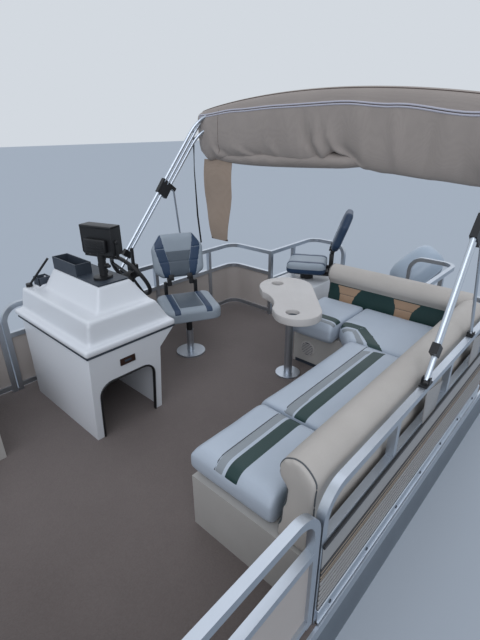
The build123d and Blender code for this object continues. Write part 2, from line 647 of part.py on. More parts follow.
TRAY_X1 = POD_FRONT_X - TRAY_WALL
TRAY_X0 = TRAY_X1 - TRAY_DEPTH
TRAY_Y0 = POD_Y - POD_WIDTH / 2 + TRAY_WALL
TRAY_Y1 = TRAY_Y0 + TRAY_WIDTH
tray = block(TRAY_X0, TRAY_X1, TRAY_Y0, TRAY_Y1, 0, TRAY_HEIGHT)
tray -= block(TRAY_X0 + TRAY_WALL, TRAY_X1 - TRAY_WALL, TRAY_Y0 + TRAY_WALL, TRAY_Y1 - TRAY_WALL,
              TRAY_WALL + TRAY_FLOOR, TRAY_HEIGHT + TRAY_WALL)
tray += block(POD_AFT_X + TRAY_WALL, TRAY_X1, TRAY_Y0, POD_Y + POD_WIDTH / 2 - TRAY_WALL, 0, TRAY_FLOOR)
nodes["console_tray"] = Pos(0, 0, POD_TOP_Z) * tray

# Steering wheel on a raked shaft
wheel_axis = Vector(-math.cos(math.radians(WHEEL_RAKE)), 0, math.sin(math.radians(WHEEL_RAKE)))
wheel_plane = Plane(origin=(WHEEL_X, CONSOLE_Y, DECK_Z + WHEEL_Z), x_dir=(0, 1, 0), z_dir=wheel_axis)
wheel = Torus(WHEEL_RADIUS - WHEEL_RIM, WHEEL_RIM) + Cylinder(WHEEL_HUB_RADIUS, WHEEL_HUB_THICK)
spoke = WHEEL_RADIUS - WHEEL_RIM
for angle in (90, 210, 330):
    wheel += Rot(0, 0, angle) * Pos(spoke / 2, 0, 0) * Box(spoke, SPOKE_WIDTH, SPOKE_THICK)
nodes["steering_wheel"] = wheel_plane * wheel
shaft_middle = WHEEL_HUB_THICK / 2 + PIN_PLAY + SHAFT_LENGTH / 2
nodes["steering_boss"] = wheel_plane * (Pos(0, 0, -shaft_middle) * Cylinder(SHAFT_RADIUS, SHAFT_LENGTH)) - cap

# Throttle on the inner face of the starboard rail, clear of the bimini's legs
rail_face = -FENCE_Y + RAIL / 2
control_x0 = CONSOLE_FRONT_X - CONTROL_DEPTH
control_x1 = control_x0 + CONTROL_LENGTH
control_y = rail_face + CONTROL_PLATE
control_floor = CONTROL_TOP_Z - CONTROL_HEIGHT
control = block(control_x0, control_x1, control_y, control_y + CONTROL_WIDTH, control_floor, CONTROL_TOP_Z)
control += block(control_x0, control_x1, rail_face, control_y, control_floor, TOP_RAIL_Z + RAIL / 2)
lever_x = (control_x0 + control_x1 - LEVER_SIZE) / 2
lever_y = control_y + CONTROL_WIDTH / 2
control += block(lever_x, lever_x + LEVER_SIZE, lever_y, lever_y + LEVER_SIZE,
                 CONTROL_TOP_Z, CONTROL_TOP_Z + LEVER_LENGTH)
nodes["throttle_control"] = control

display_x = CONSOLE_FRONT_X - DISPLAY_SETBACK
display = block(-DISPLAY_DEPTH, 0, -DISPLAY_WIDTH / 2, DISPLAY_WIDTH / 2,
                DISPLAY_RISE, DISPLAY_RISE + DISPLAY_HEIGHT)
display += rod(-DISPLAY_DEPTH / 3, 0, 0, DISPLAY_RISE + STEM_BASE_HEIGHT, STEM_RADIUS)
display += rod(0, 0, 0, STEM_BASE_HEIGHT, STEM_BASE_RADIUS)
display_place = Pos(display_x, CONSOLE_Y + DISPLAY_SIDE, POD_TOP_Z + TRAY_FLOOR + PIN_PLAY)
nodes["fish_display"] = display_place * Rot(0, 0, DISPLAY_TURN) * display
LIGHT_X = CONSOLE_FRONT_X - LIGHT_SETBACK
LIGHT_Y = TIER_Y - TIER_WIDTH / 2 + LIGHT_FOOT_RADIUS + 2
pole = rod(LIGHT_X, LIGHT_Y, TIER_TOP_Z - TRAY_WALL, TIER_TOP_Z + LIGHT_FOOT_RADIUS, LIGHT_FOOT_RADIUS)
light_axis = Plane(origin=(LIGHT_X, LIGHT_Y, DECK_Z + TIER_TOP_Z + LIGHT_RADIUS), z_dir=(-0.40, 0.52, 0.75))
pole += light_axis * (Pos(0, 0, LIGHT_LENGTH / 2) * Cylinder(LIGHT_RADIUS, LIGHT_LENGTH))
nodes["light_pole"] = pole - cap


def seat_cushion(x, y, z, width, depth, thick):
    """A seat bottom with rounded plan corners."""
    pad = Rectangle(depth, width)
    pad = fillet(pad.vertices(), SEAT_CORNER)
    pad = extrude(pad, thick)
    pad = fillet(pad.edges().filter_by(GeomType.CIRCLE).group_by(Axis.Z)[-1], SEAT_EDGE)
    return Pos(x, y, DECK_Z + z) * pad


def seat_back(z, width, recline):
    """A seat back about its pivot at height z over x = y = 0, leaning aft, with narrow top and foot."""
    shoulder = SEAT_BACK_HEIGHT * SHOULDER_SHARE
    hip = SEAT_BACK_HEIGHT * HIP_SHARE
    half = [(BOTTOM_SHARE, 0), (0.5, hip), (0.5, shoulder), (TOP_SHARE, SEAT_BACK_HEIGHT)]
    points = [(-width * share, level) for share, level in half]
    points += [(width * share, level) for share, level in reversed(half)]
    face = fillet(make_face(Polyline(*points, close=True)).vertices(), 2 * SEAT_EDGE)
    plane = Plane(origin=(-SEAT_BACK_THICK / 2, 0, SEAT_BACK_RISE), x_dir=(0, 1, 0), z_dir=(1, 0, 0))
    back = extrude(plane * face, SEAT_BACK_THICK)
    back = fillet(back.edges().group_by(Axis.X)[0] + back.edges().group_by(Axis.X)[-1], SEAT_EDGE)
    return Pos(0, 0, DECK_Z + z) * Rot(0, -recline, 0) * back


def seat(name, x, y, z, width, depth, recline, turn):
    """Cushion, frame and back of one folding seat, made over x = y = 0 and turned on its swivel."""
    place = Pos(x, y, 0) * Rot(0, 0, turn)
    pivot_x = -depth / 2 - SEAT_PIVOT_SETBACK
    pivot_z = z + SEAT_THICK + SEAT_PIVOT_RISE
    floor = z - FRAME_PLATE
    rear = pivot_x - ARM_WIDTH / 2
    frame = block(rear, depth * 0.28, -width / 3, width / 3, floor, z - SOFT_GAP)
    back = Pos(pivot_x, 0, 0) * seat_back(pivot_z, width - SEAT_BACK_NARROWER, recline)
    reach = EAR_THICK / 2 + 1 + ARM_THICK
    rise = SEAT_BACK_RISE + ARM_WIDTH
    for side in (-1, 1):
        ear = side * (width / 2 - EAR_INSET)
        frame += block(rear, rear + ARM_WIDTH, ear - EAR_THICK / 2, ear + EAR_THICK / 2,
                       floor, pivot_z + ARM_WIDTH / 2)
        pin_place = Pos(pivot_x, ear - side * reach / 2, DECK_Z + pivot_z) * Rot(90, 0, 0)
        frame += pin_place * Cylinder(SEAT_PIN, reach)
        centre = ear - side * (EAR_THICK / 2 + 1 + ARM_THICK / 2)
        arm = Pos(0, centre, rise / 2 - ARM_WIDTH / 4) * Box(ARM_WIDTH, ARM_THICK, rise + ARM_WIDTH / 2)
        arm -= Pos(0, centre, 0) * Rot(90, 0, 0) * Cylinder(SEAT_PIN + PIN_PLAY, 2 * ARM_THICK)
        back += Pos(pivot_x, 0, DECK_Z + pivot_z) * Rot(0, -recline, 0) * arm
    nodes[f"{name}_cushion"] = place * seat_cushion(0, 0, z, width, depth, SEAT_THICK)
    nodes[f"{name}_frame"] = place * frame
    nodes[f"{name}_back"] = place * back


seat("helm_seat", HELM_SEAT_X, HELM_SEAT_Y, HELM_CUSHION_Z, SEAT_WIDTH, SEAT_DEPTH,
     HELM_RECLINE, HELM_SEAT_TURN)
pedestal = rod(HELM_SEAT_X, HELM_SEAT_Y, 0, FRAME_PLATE, PEDESTAL_BASE_RADIUS)
pedestal += rod(HELM_SEAT_X, HELM_SEAT_Y, FRAME_PLATE, PEDESTAL_HEIGHT, PEDESTAL_RADIUS)
nodes["helm_pedestal"] = pedestal
nodes["helm_seat_frame"] += rod(HELM_SEAT_X, HELM_SEAT_Y, PEDESTAL_HEIGHT + PIN_PLAY,
                                HELM_CUSHION_Z - FRAME_PLATE, PEDESTAL_RADIUS - 4)

livewell = block(FISHING_SEAT_X - BOX_LENGTH / 2, FISHING_SEAT_X + BOX_LENGTH / 2,
                 FISHING_SEAT_Y - BOX_WIDTH / 2, FISHING_SEAT_Y + BOX_WIDTH / 2, 0, BOX_HEIGHT)
nodes["livewell_box"] = livewell
FISHING_CUSHION_Z = BOX_HEIGHT + BOX_COLLAR_HEIGHT
seat("fishing_seat", FISHING_SEAT_X, FISHING_SEAT_Y, FISHING_CUSHION_Z, FISHING_WIDTH, FISHING_DEPTH,
     FISHING_RECLINE, FISHING_SEAT_TURN)
nodes["fishing_seat_frame"] += rod(FISHING_SEAT_X, FISHING_SEAT_Y, BOX_HEIGHT + PIN_PLAY,
                                   FISHING_CUSHION_Z - FRAME_PLATE, BOX_COLLAR_RADIUS)


def cushion_x(x0, x1, y_inner, y_outer, side=1):
    """A lounge seat cushion along X, with a rounded front nose over the base."""
    z0 = LOUNGE_BASE_HEIGHT + SOFT_GAP
    profile = Rectangle(abs(y_outer - y_inner), CUSHION_THICK)
    nose = profile.vertices().group_by(Axis.X)[0 if side > 0 else -1]
    profile = fillet(nose, CUSHION_NOSE)
    plane = Plane(origin=(x0, (y_inner + y_outer) / 2, DECK_Z + z0 + CUSHION_THICK / 2),
                  x_dir=(0, 1, 0), z_dir=(1, 0, 0))
    return extrude(plane * profile, x1 - x0)


def backrest_profile():
    """A rounded bolster over a narrower neck that flares down to the seat."""
    head_z = BACKREST_TOP_Z - BOLSTER_RADIUS
    depth = LOUNGE_OUTER_Y - BACKREST_FOOT_Y
    head = Pos(depth - BOLSTER_RADIUS, head_z) * Circle(BOLSTER_RADIUS)
    foot = make_face(Polyline((0, LOUNGE_BASE_HEIGHT + SOFT_GAP), (depth, LOUNGE_BASE_HEIGHT + SOFT_GAP),
                              (depth, head_z), (NECK_DEPTH, head_z - 60), (NECK_DEPTH, head_z - 110),
                              close=True))
    return head + foot


def backrest_x(x0, x1, side=1):
    """A backrest along X against the side fence."""
    plane = Plane(origin=(x0, side * BACKREST_FOOT_Y, DECK_Z), x_dir=(0, 1, 0), z_dir=(1, 0, 0))
    rest = extrude(Plane(origin=(x0, BACKREST_FOOT_Y, DECK_Z), x_dir=(0, 1, 0), z_dir=(1, 0, 0)) *
                   backrest_profile(), x1 - x0)
    return rest if side > 0 else mirror(rest, about=Plane.XZ)


CUSHION_INNER_Y = LOUNGE_INNER_Y - CUSHION_OVERHANG
CUSHION_REAR_Y = BACKREST_FOOT_Y - SOFT_GAP
nodes["lounge_base"] = block(BENCH_REAR_X + BENCH_BASE_INSET, LOUNGE_FRONT_X, LOUNGE_INNER_Y, LOUNGE_OUTER_Y,
                             0, LOUNGE_BASE_HEIGHT)
nodes["lounge_base"] += block(BENCH_REAR_X + BENCH_BASE_INSET, BENCH_FRONT_X, BENCH_END_Y, LOUNGE_INNER_Y,
                              0, LOUNGE_BASE_HEIGHT)
nodes["lounge_cushion_front"] = cushion_x(CUSHION_BREAK_X + CUSHION_SEAM / 2, LOUNGE_FRONT_X + 8,
                                          CUSHION_INNER_Y, CUSHION_REAR_Y)
nodes["lounge_cushion_middle"] = cushion_x(BENCH_SEAT_FRONT_X + CUSHION_SEAM / 2,
                                           CUSHION_BREAK_X - CUSHION_SEAM / 2, CUSHION_INNER_Y, CUSHION_REAR_Y)
nodes["lounge_cushion_corner"] = block(BENCH_BACK_X + SOFT_GAP, BENCH_SEAT_FRONT_X - CUSHION_SEAM / 2,
                                       CUSHION_INNER_Y, CUSHION_REAR_Y, LOUNGE_BASE_HEIGHT + SOFT_GAP,
                                       LOUNGE_BASE_HEIGHT + SOFT_GAP + CUSHION_THICK)
bench_profile = Rectangle(BENCH_SEAT_FRONT_X - BENCH_BACK_X - SOFT_GAP, CUSHION_THICK)
bench_profile = fillet(bench_profile.vertices().group_by(Axis.X)[0], CUSHION_NOSE)
bench_plane = Plane(origin=((BENCH_SEAT_FRONT_X + BENCH_BACK_X + SOFT_GAP) / 2, BENCH_END_Y,
                            DECK_Z + LOUNGE_BASE_HEIGHT + SOFT_GAP + CUSHION_THICK / 2),
                    x_dir=(-1, 0, 0), z_dir=(0, 1, 0))
nodes["bench_cushion"] = extrude(bench_plane * bench_profile, CUSHION_INNER_Y - CUSHION_SEAM - BENCH_END_Y)
nodes["lounge_backrest"] = backrest_x(BENCH_BACK_X + 2 * SOFT_GAP, LOUNGE_FRONT_X)
bench_back_plane = Plane(origin=(BENCH_BACK_X, BENCH_END_Y, DECK_Z), x_dir=(-1, 0, 0), z_dir=(0, 1, 0))
nodes["bench_backrest"] = extrude(bench_back_plane * backrest_profile(), BENCH_BACK_END_Y - BENCH_END_Y)

BOW_LOUNGE_X1 = BOW_FENCE_X - BOW_LOUNGE_CLEAR
for name, side in (("port", 1), ("starboard", -1)):
    aft = BOW_FENCE_AFT[side] + BOW_LOUNGE_GAPS[side]
    nodes[f"bow_base_{name}"] = block(aft, BOW_LOUNGE_X1, side * LOUNGE_INNER_Y, side * LOUNGE_OUTER_Y,
                                      0, LOUNGE_BASE_HEIGHT)
    nodes[f"bow_cushion_{name}"] = cushion_x(aft, BOW_LOUNGE_X1, side * CUSHION_INNER_Y,
                                             side * CUSHION_REAR_Y, side)
    nodes[f"bow_backrest_{name}"] = backrest_x(aft, BOW_LOUNGE_X1, side)


def table_outline():
    """A kidney outline: a large and a small lobe with one hollow side."""
    big = Pos(*TABLE_BIG_LOBE) * Circle(TABLE_BIG_RADIUS)
    small = Pos(*TABLE_SMALL_LOBE) * Circle(TABLE_SMALL_RADIUS)
    body = make_hull(big.edges() + small.edges())
    return body - Pos(*TABLE_HOLLOW) * Circle(TABLE_HOLLOW_RADIUS)


table_place = Pos(TABLE_X, TABLE_Y, DECK_Z + TABLE_TOP_Z - TABLE_THICK) * Rot(0, 0, TABLE_ANGLE)
table_top = extrude(table_outline(), TABLE_THICK)
for cup in CUPS:
    table_top -= Pos(cup[0], cup[1], TABLE_THICK - CUP_DEPTH / 2) * Cylinder(CUP_RADIUS, CUP_DEPTH)
nodes["table_top"] = table_place * table_top
nodes["table_post"] = (rod(TABLE_X, TABLE_Y, 0, TABLE_TOP_Z - TABLE_THICK, TABLE_POST_RADIUS) +
                       rod(TABLE_X, TABLE_Y, 0, 10, TABLE_FOOT_RADIUS))

# Folded bimini: each bow lies in its own plane, leaning aft about the rail mounts
lean = math.radians(BIMINI_LEAN)
BIMINI_FOOT_Z = TOP_RAIL_Z + RAIL / 2 + 24.0
along = Vector(-math.cos(lean), 0, math.sin(lean))
across = Vector(math.sin(lean), 0, math.cos(lean))
bow_plane = Plane(origin=(BIMINI_FOOT_X, 0, DECK_Z + BIMINI_FOOT_Z), x_dir=(0, 1, 0), z_dir=across)


def bow(start, length, offset, tube):
    """A bow: two legs and a crowned crossbar with round corners, in the plane of the folded stack."""
    foot_y = FENCE_Y - (FENCE_Y - BOW_HALF_WIDTH) * start / MAIN_BOW_LENGTH
    head_y = FENCE_Y - (FENCE_Y - BOW_HALF_WIDTH) * length / MAIN_BOW_LENGTH
    shoulder = length - BOW_CROWN
    points = [(-foot_y, start, offset), (-head_y, shoulder, offset), (0, length, offset),
              (head_y, shoulder, offset), (foot_y, start, offset)]
    return bow_plane * round_tube(points, BOW_BEND, tube)


# Each bow of the stack: start and end along the legs, and its offset across the stack
BOWS = ((-4.0, MAIN_BOW_LENGTH, 0.0), (SECOND_BOW_START, MAIN_BOW_LENGTH - BOW_STEP, BOW_STACK),
        (THIRD_BOW_START, MAIN_BOW_LENGTH - 2 * BOW_STEP, -BOW_STACK))
pin_place = Pos(BIMINI_FOOT_X, 0, DECK_Z + BIMINI_FOOT_Z) * Rot(90, 0, 0)
bows = [bow(start, length, offset, BOW_TUBE) for start, length, offset in BOWS]
bows[0] -= pin_place * Cylinder(PIN_RADIUS + PIN_PLAY, BEAM)
nodes["bimini_bows"] = Compound(bows)

# The boot hangs upright from the crossbars, with an arched top; its loose tail hangs below it
boot_end = BOW_HALF_WIDTH + BOOT_OVERHANG
boot_arch = ThreePointArc((-boot_end, BOOT_END_Z), (0, BOOT_TOP_Z), (boot_end, BOOT_END_Z))
boot_line = Polyline((boot_end, BOOT_END_Z), (boot_end, BOOT_LOW_Z), (-boot_end, BOOT_LOW_Z),
                     (-boot_end, BOOT_END_Z))
boot_face = make_face(boot_arch + boot_line)
boot_face = fillet(boot_face.vertices(), BOOT_CORNER)
boot_plane = Plane(origin=(BOOT_X - BOOT_THICK / 2, 0, DECK_Z), x_dir=(0, 1, 0), z_dir=(1, 0, 0))
boot = extrude(boot_plane * boot_face, BOOT_THICK)
boot = fillet(boot.edges().group_by(Axis.X)[0] + boot.edges().group_by(Axis.X)[-1], BOOT_EDGE)
tail_line = Polyline((-TAIL_WIDTH / 2, TAIL_TOP_Z), (-TAIL_WIDTH / 2, TAIL_TAPER_Z),
                     (-TAIL_FOOT_WIDTH / 2, TAIL_FOOT_Z),
                     (TAIL_FOOT_WIDTH / 2, TAIL_FOOT_Z), (TAIL_WIDTH / 2, TAIL_TAPER_Z),
                     (TAIL_WIDTH / 2, TAIL_TOP_Z), close=True)
tail_plane = Plane(origin=(TAIL_X - TAIL_THICK / 2, TAIL_Y, DECK_Z), x_dir=(0, 1, 0), z_dir=(1, 0, 0))
boot += extrude(tail_plane * make_face(tail_line), TAIL_THICK)
for start, length, offset in BOWS:
    boot -= bow(start, length, offset, BOW_TUBE + 2 * PIN_PLAY)
nodes["bimini_boot"] = boot

# Support struts from the bows down to open cradles on the rails
strut_top = Vector(BIMINI_FOOT_X, 0, BIMINI_FOOT_Z) + along * STRUT_CLAMP + across * STRUT_OFFSET
strut_foot = Vector(STRUT_FOOT_X, 0, TOP_RAIL_Z + RAIL / 2 + 6 + STRUT_TUBE / 2 + 2 + PIN_PLAY)


def leg_y(distance):
    """Half the width between a bow's legs at a distance from the foot."""
    return FENCE_Y - (FENCE_Y - BOW_HALF_WIDTH) * distance / MAIN_BOW_LENGTH


mounts, clamps = [], []
for side in (-1, 1):
    y = side * FENCE_Y
    rail_top = TOP_RAIL_Z + RAIL / 2
    cheek = BOW_TUBE / 2 + 1
    mount = block(BIMINI_FOOT_X - 35, BIMINI_FOOT_X + 35, y - cheek - 5, y + cheek + 5,
                  rail_top, rail_top + 8)
    for inner in (y - cheek - 5, y + cheek):
        mount += block(BIMINI_FOOT_X - 12, BIMINI_FOOT_X + 12, inner, inner + 5,
                       rail_top + 8, BIMINI_FOOT_Z + 12)
    mount += Pos(0, y, 0) * pin_place * Cylinder(PIN_RADIUS, 2 * cheek + 10)
    mounts.append(mount)
    cradle = block(STRUT_FOOT_X - 25, STRUT_FOOT_X + 25, y - 17, y + 17, rail_top, rail_top + 6)
    for inner in (y - 17, y + 12):
        cradle += block(STRUT_FOOT_X - 14, STRUT_FOOT_X + 14, inner, inner + 5, rail_top + 6, rail_top + 24)
    mounts.append(cradle)
    low_clamp = SECOND_BOW_START + 15
    clamps.append(bow_plane * (Pos(side * leg_y(low_clamp), low_clamp, BOW_STACK / 2) *
                               Box(CLAMP_WIDTH, 50, BOW_STACK + CLAMP_WIDTH)))
    high_clamp = THIRD_BOW_START + CLAMP_WIDTH
    clamp = bow_plane * (Pos(side * leg_y(high_clamp), high_clamp, 0) *
                         Box(CLAMP_WIDTH, 2 * (STRUT_CLAMP - high_clamp) + 28, 2 * BOW_STACK + CLAMP_WIDTH))
    top_place = Pos(strut_top.X, side * leg_y(STRUT_CLAMP), DECK_Z + strut_top.Z)
    for inner in (-1, 1):
        clamp += bow_plane * (Pos(side * leg_y(STRUT_CLAMP) + inner * 14, STRUT_CLAMP, STRUT_OFFSET / 2 - 27) *
                              Box(6, 28, -STRUT_OFFSET - 27))
    clamp += top_place * Rot(90, 0, 0) * Cylinder(PIN_RADIUS, CLAMP_WIDTH)
    clamps.append(clamp)
    eye = top_place * Rot(90, 0, 0) * Cylinder(STRUT_EYE, 20)
    ends = [(strut_top.X, side * leg_y(STRUT_CLAMP), DECK_Z + strut_top.Z),
            (strut_foot.X, y, DECK_Z + strut_foot.Z)]
    strut = eye + round_tube(ends, 0, STRUT_TUBE)
    strut += Pos(strut_foot.X, y, DECK_Z + strut_foot.Z) * Sphere(STRUT_TUBE / 2 + 2)
    strut -= top_place * Rot(90, 0, 0) * Cylinder(PIN_RADIUS + PIN_PLAY, 40)
    nodes["bimini_strut_port" if side > 0 else "bimini_strut_starboard"] = strut
for tube in bows:
    clamps = [clamp - tube for clamp in clamps]
nodes["bimini_mounts"] = Compound(mounts)
nodes["bimini_clamps"] = Compound(clamps)

# Outboard: made upright, then steered about the swivel and tilted about the transom pivot
TILT_Z = DECK_Z + TRANSOM_TOP - 10.0
SWIVEL_X = TILT_X - SWIVEL_OFFSET
tilt_place = Pos(TILT_X, 0, TILT_Z) * Rot(0, MOTOR_TILT, 0) * Pos(-TILT_X, 0, -TILT_Z)
steer_place = tilt_place * Pos(SWIVEL_X, 0, 0) * Rot(0, 0, MOTOR_STEER) * Pos(-SWIVEL_X, 0, 0)

pod_top = TILT_Z - 10
plate_floor = POD_FLOOR_Z - 40
pod_front_x = TRANSOM_X + POD_LENGTH
pod = Pos(TRANSOM_X + TRANSOM_THICK / 2, 0, (pod_top + plate_floor) / 2) * Box(
    TRANSOM_THICK, TRANSOM_WIDTH, pod_top - plate_floor)
pod += Pos(TRANSOM_X + POD_LENGTH / 2, 0, POD_FLOOR_Z + POD_HEIGHT / 2) * Box(
    POD_LENGTH, TRANSOM_WIDTH, POD_HEIGHT)
web_aft_x = STERN_X + EDGE_TRIM_THICK + 2
web_top = BEAM_Z + BEAM_HEIGHT
web_height = web_top - POD_FLOOR_Z - POD_HEIGHT / 2
pod += Pos((web_aft_x + pod_front_x) / 2, 0, web_top - web_height / 2) * Box(
    pod_front_x - web_aft_x, POD_WEB, web_height)
nodes["motor_pod"] = pod - nodes["cross_members"]

tilt_axis = Pos(TILT_X, 0, TILT_Z) * Rot(90, 0, 0)
bracket_x0 = TILT_X - 40
bracket_top = TILT_Z + TILT_TUBE + 4
bracket_height = bracket_top - TILT_Z + BRACKET_DROP
bracket_z = bracket_top - bracket_height / 2
bracket_x = (bracket_x0 + TRANSOM_X) / 2
cheeks = Pos(bracket_x, 0, bracket_z) * Box(TRANSOM_X - bracket_x0, BRACKET_WIDTH, bracket_height)
cheeks -= Pos(bracket_x, 0, bracket_z) * Box(2 * (TRANSOM_X - bracket_x0), BRACKET_WIDTH - 2 * BRACKET_CHEEK,
                                             2 * bracket_height)
back_height = BRACKET_DROP - 52
cheeks += Pos(TRANSOM_X - 9, 0, TILT_Z - BRACKET_DROP + back_height / 2) * Box(18, BRACKET_WIDTH, back_height)
cheeks -= tilt_axis * Cylinder(TILT_TUBE + PIN_PLAY, 2 * BRACKET_WIDTH)
nodes["motor_clamp_bracket"] = cheeks

swivel_z = TILT_Z - 110
swivel = tilt_axis * Cylinder(TILT_TUBE, BRACKET_WIDTH + 10)
swivel += Pos((TILT_X + SWIVEL_X) / 2, 0, TILT_Z) * Box(SWIVEL_OFFSET, 110, 40)
swivel += Pos(SWIVEL_X, 0, swivel_z) * Cylinder(SWIVEL_RADIUS, 260)
swivel -= Pos(SWIVEL_X, 0, swivel_z) * Cylinder(SWIVEL_SHAFT + PIN_PLAY, 300)
nodes["motor_swivel_bracket"] = tilt_place * swivel

leg_x = SWIVEL_X - LEG_SETBACK
strut_x = leg_x + 10
pan_floor = TILT_Z + TILT_TUBE + 20
pan_height = TILT_Z + COWL_FLOOR - pan_floor
leg = Pos(SWIVEL_X, 0, TILT_Z - 100) * Cylinder(SWIVEL_SHAFT, 300)
leg += Pos(SWIVEL_X - PAN_SETBACK, 0, pan_floor + pan_height / 2) * Box(PAN_LENGTH, PAN_WIDTH, pan_height)
leg += Pos(leg_x, 0, pan_floor + 12 - LEG_LENGTH / 2) * Box(LEG_DEPTH, LEG_WIDTH, LEG_LENGTH)
leg += Pos((leg_x + SWIVEL_X) / 2, 0, TILT_Z - YOKE_DROP) * Box(YOKE_LENGTH, YOKE_WIDTH, YOKE_THICK)
leg += Pos(SWIVEL_X - PAN_SETBACK, 0, TILT_Z - WATER_PLATE_DROP) * Box(
    WATER_PLATE_LENGTH, WATER_PLATE_WIDTH, WATER_PLATE_THICK)
strut_drop = PROP_DROP - WATER_PLATE_DROP / 2 + 95
leg += Pos(strut_x, 0, TILT_Z - PROP_DROP + strut_drop / 2) * Box(STRUT_DEPTH, STRUT_WIDTH, strut_drop)
leg += Pos(strut_x, 0, TILT_Z - PROP_DROP) * Rot(0, 90, 0) * Cylinder(GEARCASE_RADIUS, GEARCASE_LENGTH)
leg += Pos(strut_x + 10, 0, TILT_Z - PROP_DROP - SKEG_SIZE * 0.7) * Box(SKEG_SIZE, SKEG_THICK, SKEG_SIZE)
nodes["motor_leg"] = steer_place * leg

pan = Rectangle(COWL_LENGTH * 0.86, COWL_WIDTH * 0.88)
pan = fillet(pan.vertices(), COWL_CORNER)
mid_face = fillet(Rectangle(COWL_LENGTH, COWL_WIDTH).vertices(), COWL_WAIST_CORNER)
top_face = fillet(Rectangle(COWL_LENGTH * 0.72, COWL_WIDTH * 0.62).vertices(), COWL_CORNER)
cowl_x = SWIVEL_X - COWL_LENGTH / 2 + COWL_FORWARD
cowl_floor = TILT_Z + COWL_FLOOR + PIN_PLAY
waist = cowl_floor + COWL_HEIGHT * 0.35
cowl = loft([Pos(cowl_x, 0, cowl_floor) * pan, Pos(cowl_x, 0, waist) * mid_face])
top_place = Pos(cowl_x - COWL_RAKE, 0, cowl_floor + COWL_HEIGHT)
cowl += loft([Pos(cowl_x, 0, waist) * mid_face, top_place * top_face])
nodes["motor_cowl"] = steer_place * cowl

PROP_X = strut_x - GEARCASE_LENGTH / 2 - PIN_PLAY - PROP_HUB_LENGTH / 2
propeller = Pos(PROP_X, 0, TILT_Z - PROP_DROP) * Rot(0, 90, 0) * Cylinder(PROP_HUB, PROP_HUB_LENGTH)
for angle in (0, 120, 240):
    blade = Pos(0, 0, PROP_RADIUS / 2 + 10) * Rot(0, 0, 25) * Box(12, PROP_HUB_LENGTH + 15, PROP_RADIUS - 20)
    propeller += Pos(PROP_X, 0, TILT_Z - PROP_DROP) * Rot(angle, 0, 0) * blade
nodes["propeller"] = steer_place * propeller

# The origin goes under the middle of the whole boat, on the plane that its keels stand on
boxes = [node.bounding_box() for node in nodes.values()]
centre_x = (min(b.min.X for b in boxes) + max(b.max.X for b in boxes)) / 2
centre_y = (min(b.min.Y for b in boxes) + max(b.max.Y for b in boxes)) / 2
floor_z = min(b.min.Z for b in boxes)
shift = Pos(-centre_x, -centre_y, -floor_z)

os.makedirs("parts", exist_ok=True)
for name, node in nodes.items():
    export_step(shift * node, f"parts/{name}.step")
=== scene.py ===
"""Looks of a 20 ft pontoon boat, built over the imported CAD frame."""
import logging
import math
from dataclasses import dataclass
from enum import Enum
from typing import Iterable, Optional, Sequence

import bmesh
import bpy
from mathutils import Matrix, Vector, noise
from mathutils.bvhtree import BVHTree


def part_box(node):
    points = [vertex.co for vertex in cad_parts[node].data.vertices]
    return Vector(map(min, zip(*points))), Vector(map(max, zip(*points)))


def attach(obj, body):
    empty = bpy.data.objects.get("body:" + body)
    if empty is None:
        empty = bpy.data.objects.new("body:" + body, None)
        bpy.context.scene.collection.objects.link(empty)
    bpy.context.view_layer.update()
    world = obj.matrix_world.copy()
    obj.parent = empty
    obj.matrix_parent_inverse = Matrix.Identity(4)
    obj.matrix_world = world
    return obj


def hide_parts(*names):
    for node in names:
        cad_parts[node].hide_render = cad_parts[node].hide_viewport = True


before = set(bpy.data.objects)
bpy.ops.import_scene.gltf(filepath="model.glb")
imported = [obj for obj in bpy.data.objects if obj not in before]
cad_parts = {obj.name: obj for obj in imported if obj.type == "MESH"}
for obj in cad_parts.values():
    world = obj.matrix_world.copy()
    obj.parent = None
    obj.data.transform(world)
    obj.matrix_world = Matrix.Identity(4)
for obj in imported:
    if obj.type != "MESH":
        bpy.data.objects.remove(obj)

log = logging.getLogger("pontoon_boat")
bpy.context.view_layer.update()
MM = 0.001

# How much the grain shows in the colour, on carpet and on all else
CARPET_SPECK, SPECK = 0.55, 0.12
# Share of its roughness that a finish has where it is least and most worn
WORN_SMOOTH, WORN_ROUGH = 0.85, 1.2
# Depth of the grain as a share of its size
GRAIN_DEPTH = 0.4
# Edges sharper than these many degrees stay sharp: on pieces, on softened CAD nodes, on the cowl, pads and canvas
SHARP, SOFT_SHARP, COWL_SHARP, PAD_SHARP, SKIN_SHARP = 38.0, 20.0, 50.0, 60.0, 70.0
# Pressure, frames and rounds of smoothing that fill a pad
PRESSURE, FRAMES, PAD_ROUNDS = 4.0, 20, 3
# Least spacing of the points of a welt
WELT_STEP = 9.0


# Places
@dataclass(frozen=True)
class Deck:
    """The deck's middle and top, from which the boat's places are counted in millimetres."""
    mid_x: float
    top_z: float

    def at(self, x: float, y: float, z: float) -> Vector:
        """A point of the boat in metres, from millimetres ahead, to port and above the deck."""
        return Vector((self.mid_x + x * MM, y * MM, self.top_z + z * MM))


def find_deck() -> Deck:
    """The deck's place, read from its packed board.

    Returns:
        The deck's middle and top.
    """
    low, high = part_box("deck_board")
    return Deck((low.x + high.x) / 2, high.z)


DECK = find_deck()


# Finishes
class Surface(Enum):
    """How a finish's surface was made, which sets its bump."""
    BRUSHED = "brushed"
    MOULDED = "moulded"
    VINYL = "vinyl"
    CARPET = "carpet"
    CANVAS = "canvas"
    PAINTED = "painted"


